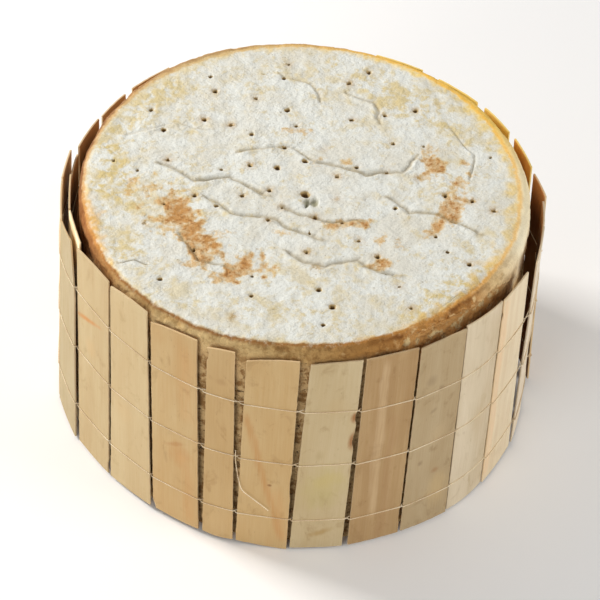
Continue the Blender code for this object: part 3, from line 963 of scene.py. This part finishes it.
    # heights in millimetres
    ripple = placeGroup(tree, clothRipple(), Place=place).outputs["Height"]
    topOnly = rangeOf(tree, paintedMask(tree, "edgePlace"), 4.0, 0.0, 0.0, 0.03)
    height = mathOf(tree, "MULTIPLY", ripple, topOnly)
    calm = rangeOf(tree, paintedMask(tree, "edgeRough"), 0.0, 0.6, 0.4, 1.0)
    calm = mixOf(tree, rangeOf(tree, paintedMask(tree, "edgePlace"), -6.0, 0.0), (1.0, 1.0, 1.0, 1.0), calm)
    skin = mathOf(tree, "MULTIPLY_ADD", grain, 0.3, bumps)
    skin = mathOf(tree, "MULTIPLY_ADD", mottle, 1.7, skin)
    height = mathOf(tree, "MULTIPLY_ADD", skin, mathOf(tree, "MULTIPLY", calm, 0.52), height)
    height = mathOf(tree, "MULTIPLY_ADD", mathOf(tree, "MULTIPLY", poreMask, lower), -0.7, height)
    setSocket(tree, shader.inputs["Normal"], bumpOf(tree, height, 1.0, 0.001))
    return material


def makeCheese():
    holes = placeHoles()
    cheese = turnWheel()
    refineWhere(cheese, nearCreases(3.8))
    refineWhere(cheese, nearCreases(1.0))
    refineWhere(cheese, nearTear(4.0, 16.0))
    refineWhere(cheese, nearTear(1.6, 1.8))
    print("wheel turned:", len(cheese.data.vertices), "points")
    points = readPoints(cheese.data)
    writePoints(cheese.data, shapeLikeFrame(points))
    shaped = readPoints(cheese.data)
    normals = readNormals(cheese.data)
    relief = (topRelief(points, holes) + rimRelief(points)) * mm
    writePoints(cheese.data, shaped + normals * relief[:, None])
    print("relief pressed in")
    needles = makeNeedles(holes)
    useModifier(cheese, "BOOLEAN", operation="DIFFERENCE", solver="EXACT", object=needles)
    bpy.data.objects.remove(needles, do_unlink=True)
    print("holes pierced:", len(holes))
    paintCheese(cheese.data, holes)
    pickOnly(cheese)
    bpy.ops.object.shade_smooth_by_angle(angle=math.radians(50))
    finishPiece(cheese, "cheeseWheel", ["cheese"], makeCheeseMaterial())
    print("cheese finished:", sum(len(face.vertices) - 2 for face in cheese.data.polygons), "triangles")


makeCheese()


# slats

slatLook = {
    "thickness": 1.2,                   # millimetres
    "columns": 12,
    "rows": 92,
    "softEdge": 0.18,
    "edgeWander": 0.22,
    # inner faces: the top tone fades to a darker tone lower down the gap between slat and wheel; this darkening is
    # painted shade
    "inner": (214, 166, 112),
    "innerShadeLow": (132, 80, 42),
    # painted light: slats 17 to 24 get bright yellow-orange inner faces and cut edges for light glowing through the
    # thin wood, and innerLit gives slats 15 to 19 painted lit tones
    "innerGlowBackLow": (246, 184, 92),
    "innerLit": {15: (214, 150, 90), 16: (214, 142, 80), 17: (252, 184, 90), 18: (255, 214, 104), 19: (255, 228, 122)},
    "innerGlowBack": (255, 232, 128),
    "cut": ((236, 214, 172), 0.35),     # tone of the cut edges, pale cut wood and partly a painted highlight on the top edges, and how much of it shows
    "cutGlowBack": ((255, 222, 124), 0.85),
}

# for each slat: pale and dark tone, belly of its section in millimetres (below zero is hollow), rise of its top edge
# and droop of its foot edge in the middle, and how blotchy it is
slatTones = {
    1: ((222, 200, 160), (206, 178, 132), 0.2, 0.4, 0.2, 0.2),
    2: ((220, 198, 158), (204, 176, 132), 0.3, 0.3, 0.2, 0.2),
    3: ((177, 160, 126), (162, 141, 99), 0.4, 0.5, 0.2, 0.2),
    4: ((190, 169, 128), (176, 148, 105), 0.3, 1.2, 0.3, 0.35),
    5: ((198, 176, 134), (188, 161, 117), 0.3, 1.4, 0.3, 0.3),
    6: ((200, 172, 124), (186, 145, 90), 0.4, 0.8, 0.4, 0.4),
    7: ((196, 165, 116), (183, 148, 97), 0.2, 0.5, 1.2, 0.4),
    8: ((196, 167, 119), (184, 148, 95), 0.3, 1.0, 0.4, 0.4),
    9: ((192, 173, 136), (177, 153, 110), 0.3, 0.2, 0.3, 0.45),
    10: ((177, 147, 104), (160, 127, 84), 0.3, 0.3, 0.3, 0.4),
    11: ((178, 157, 122), (161, 136, 97), 0.3, 0.5, 0.5, 0.5),
    12: ((217, 201, 174), (191, 173, 139), 1.5, 0.3, 0.3, 0.4),
    13: ((231, 215, 184), (216, 193, 157), 0.5, 0.3, 0.3, 0.2),
    14: ((230, 216, 192), (220, 198, 168), 0.3, 0.3, 0.3, 0.2),
    15: ((230, 218, 196), (222, 202, 172), 0.3, 0.3, 0.3, 0.2),
    16: ((222, 190, 144), (204, 168, 118), 0.3, 0.3, 0.3, 0.3),
    30: ((253, 244, 204), (248, 222, 168), 0.3, 0.3, 0.3, 0.3),
}
commonTones = (
    ((220, 196, 154), (200, 170, 124), 0.3, 0.5, 0.3, 0.3),
    ((212, 186, 144), (194, 162, 116), 0.4, 0.3, 0.3, 0.45),
    ((224, 204, 168), (206, 180, 140), 0.2, 0.6, 0.2, 0.25),
    ((202, 176, 136), (184, 152, 110), 0.5, 0.4, 0.4, 0.6),
)

# how far a slat's long edges bow sideways from their plain lines, from foot to top in millimetres
edgeBows = {
    (3, 1): (1.8, 3.9, 6.0, 8.4, 2.2),
    (4, 0): (1.5, 0.8, 0.0, -0.8, -1.5),
    (5, 1): (1.9, 1.4, 0.9, 0.4, 0.0),
    (7, 1): (1.4, 0.7, 0.0, -0.6, -1.3),
    (9, 0): (0.0, 0.0, 0.2, 0.5, 1.0),
    (12, 1): (0.5, 0.5, 0.5, 0.5, 0.5),
    (13, 0): (-0.9, -0.9, -0.9, -0.9, -0.9),
}


def bowed(number, rows):
    still = (0.0,) * len(rows)
    result = []
    for left, right, leftBow, rightBow in zip(*zip(*rows), edgeBows.get((number, 0), still),
                                              edgeBows.get((number, 1), still)):
        along = (right - left).normalized()
        result.append((left + along * leftBow * mm, right + along * rightBow * mm))
    return result


def readSlat(nodeName):
    # the two long edges of a plain slat's middle surface, from its foot to its top
    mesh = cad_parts[nodeName].data
    unique = {tuple(round(part, 6) for part in vertex.co) for vertex in mesh.vertices}
    corners = sorted((Vector(point) for point in unique), key=lambda point: point.z)
    middle = sum(corners, Vector()) / len(corners)
    sideways = Vector((-middle.y, middle.x, 0.0)).normalized()
    rows = []
    perRow = len(corners) // 5
    for k in range(5):
        row = sorted(corners[k * perRow:(k + 1) * perRow], key=lambda point: point.dot(sideways))
        rows.append(((row[0] + row[1]) / 2, (row[-1] + row[-2]) / 2))
    return rows


def slatPoint(slat, across, up):
    # a point of the flat middle surface; both shares may go a little past 0 or 1
    row = min(max(int(up * 4), 0), 3)
    share = up * 4 - row
    left = slat["rows"][row][0].lerp(slat["rows"][row + 1][0], share)
    right = slat["rows"][row][1].lerp(slat["rows"][row + 1][1], share)
    return left.lerp(right, across), (right - left).normalized()


def slatSurface(slat, across, up):
    # the warped middle surface: its point, the direction along the mat and the direction outwards
    point, along = slatPoint(slat, across, up)
    outward = along.cross(upward).normalized()
    bend = 2 * across - 1
    belly = slat["belly"]
    inwards = belly * bend * bend if belly > 0 else -belly * (1 - bend * bend)
    inwards += slat["curl"] * max(up - 0.8, 0.0) ** 2 * 25 * (across if slat["curlSide"] > 0 else 1 - across)
    waver = noise.noise(Vector((across * 0.8, up * 3.0, slat["seed"]))) * 0.35
    return point - outward * (max(inwards, -0.2) + max(waver, -0.1)) * mm, along, outward


def upFor(slat, across, height):
    foot, top = slatPoint(slat, across, 0.0)[0].z, slatPoint(slat, across, 1.0)[0].z
    return (height - foot) / (top - foot)


def readSlats():
    slats = []
    for number in range(1, 31):
        tones = slatTones.get(number, commonTones[number % len(commonTones)])
        slats.append({
            "number": number,
            "rows": bowed(number, readSlat(f"slat_{number:02d}")),
            "pale": tones[0], "dark": tones[1], "belly": tones[2],
            "topRise": tones[3], "footDroop": tones[4], "blotch": tones[5],
            "curl": 0.0, "curlSide": 1, "seed": number * 3.7,
        })
    return slats


slats = readSlats()

# bites out of a slat's long edges: slat, side, height, length and depth in millimetres
edgeBites = (
    (6, 0, 3.0, 9.0, 3.2), (9, 1, 118.0, 9.0, 0.9), (9, 1, 98.0, 12.0, 1.0), (13, 0, 150.0, 5.0, 1.0),
    (7, 0, 160.0, 8.0, 1.2), (8, 1, 60.0, 20.0, 0.6), (10, 1, 20.0, 16.0, 0.6), (4, 1, 8.0, 9.0, 1.0),
)


def edgeBite(number, side, height):
    deep = 0.0
    for slatNumber, biteSide, middle, length, depth in edgeBites:
        if slatNumber == number and biteSide == side:
            deep = max(deep, depth * math.exp(-((height - middle) / (length / 2)) ** 4))
    return deep


def makeSlat(slat, material):
    number, seed = slat["number"], slat["seed"]
    columns, rows = slatLook["columns"], slatLook["rows"]
    clearSelection()
    bpy.ops.mesh.primitive_grid_add(x_subdivisions=columns, y_subdivisions=rows, size=1.0)
    piece = bpy.context.object
    mesh = piece.data
    flat = []
    for vertex in mesh.vertices:
        across, up = vertex.co.x + 0.5, vertex.co.y + 0.5
        point, along, outward = slatSurface(slat, across, up)
        width = (slatPoint(slat, 1.0, up)[0] - slatPoint(slat, 0.0, up)[0]).length
        for side, atEdge in ((0, across < 0.001), (1, across > 0.999)):
            if atEdge:
                rough = noise.noise(Vector((point.z / (5 * mm), side * 9.0, seed)))
                rough += 0.6 * noise.noise(Vector((point.z / (1.6 * mm), side * 4.0, seed)))
                inwards = (slatLook["edgeWander"] * (0.5 + rough) + edgeBite(number, side, point.z / mm)) * mm
                point = point + along * inwards * (1 if side == 0 else -1)
        arch = 1 - (2 * across - 1) ** 2
        if up > 0.999:
            rough = noise.noise(Vector((across * width / (2.4 * mm), 3.0, seed))) * 0.25
            point = point + upward * (slat["topRise"] * (arch - 0.5) + rough) * mm
        if up < 0.001:
            rough = noise.noise(Vector((across * width / (2.4 * mm), 7.0, seed))) * 0.25
            point = point - upward * (slat["footDroop"] * (arch - 0.5) + rough) * mm
        flat.append((across * width, point.z))
        vertex.co = point
    layer = mesh.uv_layers.active or mesh.uv_layers.new()
    layer.name = "grain"
    for loop in mesh.loops:
        layer.data[loop.index].uv = flat[loop.vertex_index]
    useModifier(piece, "SOLIDIFY", thickness=slatLook["thickness"] * mm, offset=0.0, use_even_offset=True)
    useModifier(piece, "BEVEL", width=slatLook["softEdge"] * mm, segments=1, limit_method="ANGLE",
                angle_limit=math.radians(55))
    bpy.ops.object.mode_set(mode="EDIT")
    bpy.ops.mesh.select_all(action="SELECT")
    bpy.ops.mesh.normals_make_consistent(inside=False)
    bpy.ops.object.mode_set(mode="OBJECT")
    points, normals = readPoints(mesh), readNormals(mesh)
    outwards = points[:, :2] / np.hypot(points[:, 0], points[:, 1])[:, None]
    facing = (normals[:, :2] * outwards).sum(axis=1)
    paintPoints(mesh, "innerFace", smoothStep(0.1, 0.6, -facing))
    paintPoints(mesh, "cutEdge", 1.0 - smoothStep(0.75, 0.97, np.abs(facing)))
    bpy.ops.object.shade_smooth_by_angle(angle=math.radians(35))
    finishPiece(piece, f"slat{number:02d}", [f"slat_{number:02d}"], material)


def veneerGroup():
    # long fibres, soft growth bands and blotches of a thin sliced board; the map is in metres, height upwards
    tree, inside, outside = newGroup(
        "veneer",
        [("Pale", "NodeSocketColor", None), ("Dark", "NodeSocketColor", None),
         ("Blotch", "NodeSocketFloat", 0.3), ("Streaks", "NodeSocketFloat", 0.25), ("Seed", "NodeSocketFloat", 0.0)],
        [("Color", "NodeSocketColor"), ("Roughness", "NodeSocketFloat"), ("Height", "NodeSocketFloat")])
    flat = addNode(tree, "ShaderNodeUVMap", {"uv_map": "grain"}).outputs[0]
    seeded = addNode(tree, "ShaderNodeCombineXYZ", X=inside.outputs["Seed"], Y=inside.outputs["Seed"], Z=0.0).outputs[0]
    place = addNode(tree, "ShaderNodeVectorMath", {"operation": "ADD"})
    setSocket(tree, place.inputs[0], flat)
    setSocket(tree, place.inputs[1], seeded)
    place = place.outputs[0]
    fibre = noiseOf(tree, stretchedPlace(tree, place, (1500.0, 26.0, 1.0)), 1.0, 3.0, 0.6)
    bands = noiseOf(tree, stretchedPlace(tree, place, (190.0, 5.0, 1.0)), 1.0, 3.0, 0.55, 0.4)
    broad = noiseOf(tree, stretchedPlace(tree, place, (55.0, 11.0, 1.0)), 1.0, 3.0, 0.6, 0.5)
    blotch = noiseOf(tree, stretchedPlace(tree, place, (95.0, 60.0, 1.0)), 1.0, 4.0, 0.65, 0.6)
    fleck = noiseOf(tree, stretchedPlace(tree, place, (900.0, 210.0, 1.0)), 1.0, 2.0, 0.5)
    tone = mathOf(tree, "MULTIPLY", rangeOf(tree, bands, 0.34, 0.66), inside.outputs["Streaks"])
    tone = mathOf(tree, "MULTIPLY_ADD", rangeOf(tree, broad, 0.28, 0.72), 0.5, tone)
    tone = mathOf(tree, "MULTIPLY_ADD", rangeOf(tree, fibre, 0.3, 0.7), 0.16, tone)
    color = mixOf(tree, tone, inside.outputs["Pale"], inside.outputs["Dark"])
    stain = mathOf(tree, "MULTIPLY", rangeOf(tree, blotch, 0.54, 0.72), inside.outputs["Blotch"])
    color = mixOf(tree, stain, color, mixOf(tree, 1.0, color, (0.62, 0.52, 0.36, 1.0), "MULTIPLY"))
    specks = mathOf(tree, "MULTIPLY", rangeOf(tree, fleck, 0.68, 0.76), 0.35)
    color = mixOf(tree, specks, color, mixOf(tree, 1.0, color, (0.45, 0.34, 0.22, 1.0), "MULTIPLY"))
    setSocket(tree, outside.inputs["Color"], color)
    setSocket(tree, outside.inputs["Roughness"], rangeOf(tree, fibre, 0.3, 0.7, 0.55, 0.8))
    height = mathOf(tree, "MULTIPLY_ADD", bands, 0.6, fibre)
    setSocket(tree, outside.inputs["Height"], height)
    return tree


def spotGroup():
    # a ragged oval mark on a slat, placed on its map
    tree, inside, outside = newGroup(
        "veneerSpot",
        [("Place", "NodeSocketVector", None), ("Size", "NodeSocketVector", None), ("Lean", "NodeSocketFloat", 0.0),
         ("Strength", "NodeSocketFloat", 1.0)],
        [("Mask", "NodeSocketFloat")])
    flat = addNode(tree, "ShaderNodeUVMap", {"uv_map": "grain"}).outputs[0]
    apart = addNode(tree, "ShaderNodeVectorMath", {"operation": "SUBTRACT"})
    setSocket(tree, apart.inputs[0], flat)
    setSocket(tree, apart.inputs[1], inside.outputs["Place"])
    parts = addNode(tree, "ShaderNodeSeparateXYZ", Vector=apart.outputs[0])
    level = mathOf(tree, "MULTIPLY", parts.outputs[0], inside.outputs["Lean"])
    level = mathOf(tree, "SUBTRACT", parts.outputs[1], level)
    leaning = addNode(tree, "ShaderNodeCombineXYZ", X=parts.outputs[0], Y=level, Z=0.0)
    scaled = addNode(tree, "ShaderNodeVectorMath", {"operation": "DIVIDE"})
    setSocket(tree, scaled.inputs[0], leaning.outputs[0])
    setSocket(tree, scaled.inputs[1], inside.outputs["Size"])
    reach = addNode(tree, "ShaderNodeVectorMath", {"operation": "LENGTH"})
    setSocket(tree, reach.inputs[0], scaled.outputs[0])
    ragged = noiseOf(tree, stretchedPlace(tree, flat, (240.0, 90.0, 1.0)), 1.0, 4.0, 0.65)
    total = mathOf(tree, "MULTIPLY_ADD", ragged, 1.2, reach.outputs["Value"])
    mask = rangeOf(tree, total, 1.9, 0.8)
    setSocket(tree, outside.inputs["Mask"], mathOf(tree, "MULTIPLY", mask, inside.outputs["Strength"]))
    return tree


def streakGroup():
    # a soft coloured line in the grain: through a point of the map, leaning, between two heights
    tree, inside, outside = newGroup(
        "veneerStreak",
        [("Across", "NodeSocketFloat", 0.01), ("Lean", "NodeSocketFloat", 0.0), ("Low", "NodeSocketFloat", 0.0),
         ("High", "NodeSocketFloat", 0.1), ("Width", "NodeSocketFloat", 0.002), ("Strength", "NodeSocketFloat", 1.0)],
        [("Mask", "NodeSocketFloat")])
    flat = addNode(tree, "ShaderNodeUVMap", {"uv_map": "grain"}).outputs[0]
    parts = addNode(tree, "ShaderNodeSeparateXYZ", Vector=flat)
    wobble = noiseOf(tree, stretchedPlace(tree, flat, (20.0, 30.0, 1.0)), 1.0, 2.0)
    line = mathOf(tree, "MULTIPLY_ADD", parts.outputs[1], inside.outputs["Lean"], inside.outputs["Across"])
    line = mathOf(tree, "ADD", line, mathOf(tree, "MULTIPLY", mathOf(tree, "SUBTRACT", wobble, 0.5), 0.008))
    away = mathOf(tree, "ABSOLUTE", mathOf(tree, "SUBTRACT", parts.outputs[0], line))
    share = mathOf(tree, "DIVIDE", away, inside.outputs["Width"])
    mask = rangeOf(tree, share, 1.0, 0.1)
    above = mathOf(tree, "SUBTRACT", parts.outputs[1], inside.outputs["Low"])
    under = mathOf(tree, "SUBTRACT", inside.outputs["High"], parts.outputs[1])
    ends = mathOf(tree, "MULTIPLY", rangeOf(tree, above, 0.0, 0.012), rangeOf(tree, under, 0.0, 0.012))
    fine = rangeOf(tree, noiseOf(tree, stretchedPlace(tree, flat, (900.0, 40.0, 1.0)), 1.0, 2.0), 0.3, 0.6, 0.4, 1.0)
    mask = mathOf(tree, "MULTIPLY", mathOf(tree, "MULTIPLY", mask, ends), fine)
    setSocket(tree, outside.inputs["Mask"], mathOf(tree, "MULTIPLY", mask, inside.outputs["Strength"]))
    return tree


veneer = veneerGroup()
veneerSpot = spotGroup()
veneerStreak = streakGroup()

# marks: slat: (kind, values in millimetres, strength, colour)
# a spot has across, height, half width, half height, lean; a streak has across at the foot, lean, low, high, width
slatMarks = {
    4: (("spot", (12, 117, 17, 2.2, 0.36), 0.9, (190, 132, 72)), ("spot", (16, 96, 7, 9, 0), 0.2, (206, 164, 110))),
    5: (("spot", (12, 70, 8, 10, 0), 0.15, (206, 168, 116)),),
    6: (("spot", (21, 62, 9, 11, 0), 0.6, (190, 142, 86)), ("spot", (22, 60, 3.5, 5, 0), 0.35, (206, 162, 108)),
        ("spot", (17, 70, 8, 2.2, 0.5), 0.5, (176, 124, 68)),
        ("streak", (27.0, -0.02, 0, 62, 7.0), 0.5, (194, 146, 90)),
        ("streak", (26.0, 0.0, 90, 165, 8.0), 0.25, (204, 152, 96))),
    7: (("spot", (10, 140, 4, 3, 0), 0.3, (156, 118, 72)), ("spot", (14, 128, 3, 2, 0), 0.2, (156, 118, 72))),
    8: (("streak", (31.0, -0.25, 4, 124, 4.0), 0.7, (184, 136, 80)),
        ("streak", (33.0, -0.2, 2, 60, 8.0), 0.4, (198, 152, 98)),
        ("spot", (19, 58, 1.6, 1.2, 0), 0.8, (130, 84, 40))),
    9: (("spot", (17, 58, 15, 20, 0.2), 0.4, (180, 164, 96)),
        ("spot", (19, 64, 9, 7, 0.3), 0.3, (190, 168, 100)), ("spot", (16, 46, 10, 9, -0.2), 0.3, (172, 154, 104)),
        ("spot", (18, 16, 8, 3, 0.4), 0.6, (164, 132, 72)), ("spot", (20, 128, 9, 9, 0), 0.25, (186, 158, 112)),
        ("spot", (31.0, 98, 2.6, 9, 0), 0.9, (148, 98, 50)), ("spot", (31.0, 118, 2.6, 5, 0), 0.9, (148, 98, 50)),
        ("spot", (12, 86, 3, 5, 0), 0.3, (160, 138, 92))),
    10: (("streak", (14.0, 0.0, 20, 166, 3.5), 0.4, (206, 178, 140)),
         ("streak", (10.0, 0.01, 40, 166, 2.0), 0.3, (200, 172, 134)),
         ("streak", (22.0, 0.0, 0, 120, 5.0), 0.3, (156, 116, 76))),
    11: (("spot", (10, 132, 4, 5, 0), 0.35, (128, 106, 76)), ("spot", (18, 122, 2, 3, 0), 0.4, (120, 98, 68)),
         ("spot", (14, 104, 3, 2, 0.4), 0.35, (120, 98, 68)), ("spot", (9, 60, 2, 2.5, 0), 0.45, (116, 88, 54)),
         ("spot", (21, 48, 3, 2.5, 0), 0.5, (150, 104, 60)), ("spot", (24, 30, 8, 16, 0), 0.45, (200, 172, 124)),
         ("spot", (12, 24, 6, 2, 0.3), 0.4, (144, 116, 76)), ("spot", (20, 82, 7, 9, 0), 0.25, (196, 170, 130))),
    # slat 12: the wide darker streak on its right side is painted shade of the slat's cupped curve
    12: (("spot", (12, 120, 2, 3, 0), 0.3, (150, 130, 96)), ("spot", (20, 70, 7, 20, 0), 0.3, (190, 164, 122)),
         ("streak", (27.0, 0.0, 0, 166, 12.0), 0.5, (192, 170, 134))),
    13: (("streak", (3.0, 0.0, 0, 166, 6.5), 0.55, (236, 196, 150)),
         ("streak", (12.0, 0.0, 0, 166, 2.5), 0.25, (212, 186, 148))),
}


def makeSlatMaterial(slat):
    number = slat["number"]
    material, tree, shader = newMaterial(f"veneer{number:02d}")
    board = placeGroup(tree, veneer, Pale=cardColor(*slat["pale"]), Dark=cardColor(*slat["dark"]),
                       Blotch=slat["blotch"], Streaks=0.4 if number in (10, 13) else 0.12, Seed=number * 0.37)
    color = board.outputs["Color"]
    for kind, values, strength, tone in slatMarks.get(number, ()):
        if kind == "spot":
            across, height, wide, high = (value * mm for value in values[:4])
            mark = placeGroup(tree, veneerSpot, Place=(across, height, 0.0), Size=(wide, high, 1.0), Lean=values[4],
                              Strength=strength)
        else:
            across, lean, low, high, width = values
            mark = placeGroup(tree, veneerStreak, Across=across * mm, Lean=lean, Low=low * mm, High=high * mm,
                              Width=width * mm, Strength=strength)
        color = mixOf(tree, mark.outputs["Mask"], color, cardColor(*tone))
    # painted glow on the inner faces of the back slats
    lit = slatLook["innerGlowBack"] if 19 < number < 25 else slatLook["innerLit"].get(number, slatLook["inner"])
    deep = slatLook["innerGlowBackLow"] if 16 < number < 25 else slatLook["innerShadeLow"]
    place = addNode(tree, "ShaderNodeTexCoord").outputs["Object"]
    innerPatchiness = rangeOf(tree, noiseOf(tree, place, 45.0, 3.0), 0.25, 0.65, 0.8, 1.0)
    # inner faces darken lower down as painted shade; on the back slats the lower tone is a painted glow instead
    level = addNode(tree, "ShaderNodeSeparateXYZ", Vector=place).outputs[2]
    inner = mixOf(tree, rangeOf(tree, level, 0.158, 0.132), cardColor(*lit), cardColor(*deep))
    color = mixOf(tree, mathOf(tree, "MULTIPLY", paintedMask(tree, "innerFace"), innerPatchiness), color, inner)
    cutTone, cutShare = slatLook["cutGlowBack"] if 16 < number < 25 else slatLook["cut"]
    color = mixOf(tree, mathOf(tree, "MULTIPLY", paintedMask(tree, "cutEdge"), cutShare), color, cardColor(*cutTone))
    setSocket(tree, shader.inputs["Base Color"], color)
    setSocket(tree, shader.inputs["Roughness"], board.outputs["Roughness"])
    setSocket(tree, shader.inputs["Normal"], bumpOf(tree, board.outputs["Height"], 0.35, 0.0003))
    shader.inputs["Specular IOR Level"].default_value = 0.35
    return material


for slat in slats:
    makeSlat(slat, makeSlatMaterial(slat))
print("slats finished:", len(slats))


# threads round the slats

threadRows = ((125.5, 7.0), (78.5, 4.5), (28.5, 4.3))      # middle height and how much higher at the left, millimetres


def rowHeight(row, place):
    middle, slope = row
    return (middle - slope * place.x / math.hypot(place.x, place.y)) * mm


def twinedRoute(row, phase, seed):
    # over one slat and behind the next; the other strand of the pair runs half a turn behind
    lay = slatLook["thickness"] / 2 + threadLook["radius"] * 0.92
    beside = (0.3 + threadLook["radius"]) * mm
    route = []
    for index, slat in enumerate(slats):
        side = 1 if (index + phase) % 2 == 0 else -1
        for across, past in ((0.0, -1), (0.04, 0), (0.35, 0), (0.65, 0), (0.96, 0), (1.0, 1)):
            rough = slatPoint(slat, across, 0.5)[0]
            height = rowHeight(row, rough) + 0.5 * mm * side * (2 * across - 1)
            height += 0.25 * mm * noise.noise(Vector((index * 0.9 + across, row[0], seed)))
            point, along, outward = slatSurface(slat, across, upFor(slat, across, height))
            point = point + along * beside * past + outward * side * lay * mm
            route.append(point)
    return route


def softened(line, rounds):
    for _ in range(rounds):
        line = [line[0]] + [(a + b * 2 + c) / 4 for a, b, c in zip(line, line[1:], line[2:])] + [line[-1]]
    return line


def makeThreads():
    for number, row in enumerate(threadRows):
        for phase, letter in enumerate("AB"):
            spacing = threadLook["spacing"]
            fine = softened(evenPoints(twinedRoute(row, phase, number * 2 + phase), spacing * mm), 2)
            name = f"thread{number + 1}{letter}"
            thread = twistedThread(name, fine, section, spacing)
            finishPiece(thread, name, [f"thread_{number + 1}_{letter.lower()}"], threadMaterial)


makeThreads()
bpy.data.objects.remove(section, do_unlink=True)
print("threads finished")


# floor and light

studio = {
    "floorSize": 8.0,
    "floor": (250, 249, 248),
    "sky": (0.93, 0.96, 1.0),
    "skyStrength": 0.34,
    # name: place, side, power, colour
    "lamps": (
        ("key", (-1.6, 0.72, 1.15), 0.55, 42.0, (1.0, 0.97, 0.93)),
        ("front", (-1.1, -2.1, 0.75), 1.3, 22.0, (1.0, 0.98, 0.95)),
        ("right", (1.6, -0.5, 0.85), 0.9, 14.5, (1.0, 0.97, 0.93)),
    ),
}


def lightStudio():
    clearSelection()
    bpy.ops.mesh.primitive_plane_add(size=studio["floorSize"], location=(0.0, 0.0, 0.0))
    floor = bpy.context.object
    floor.name = "floor"
    material, tree, shader = newMaterial("paleFloor")
    place = addNode(tree, "ShaderNodeTexCoord").outputs["Object"]
    pale = cardColor(*studio["floor"])
    tone = mixOf(tree, rangeOf(tree, noiseOf(tree, place, 3.0), 0.3, 0.7, 0.0, 0.04), pale, cardColor(225, 224, 222))
    setSocket(tree, shader.inputs["Base Color"], tone)
    shader.inputs["Roughness"].default_value = 0.9
    floor.data.materials.append(material)
    for name, place, side, power, color in studio["lamps"]:
        bpy.ops.object.light_add(type="AREA", location=place)
        lamp = bpy.context.object
        lamp.name = name
        lamp.data.shape = "SQUARE"
        lamp.data.size = side
        lamp.data.energy = power
        lamp.data.color = color
        lamp.rotation_mode = "QUATERNION"
        lamp.rotation_quaternion = (Vector((0.0, 0.0, 0.09)) - Vector(place)).to_track_quat("-Z", "Y")
    world = bpy.data.worlds.new("studio")
    bpy.context.scene.world = world
    world.use_nodes = True
    sky = world.node_tree.nodes["Background"]
    sky.inputs["Color"].default_value = (*studio["sky"], 1.0)
    sky.inputs["Strength"].default_value = studio["skyStrength"]
    bpy.context.scene.view_settings.view_transform = "Standard"


lightStudio()
print("studio lit")
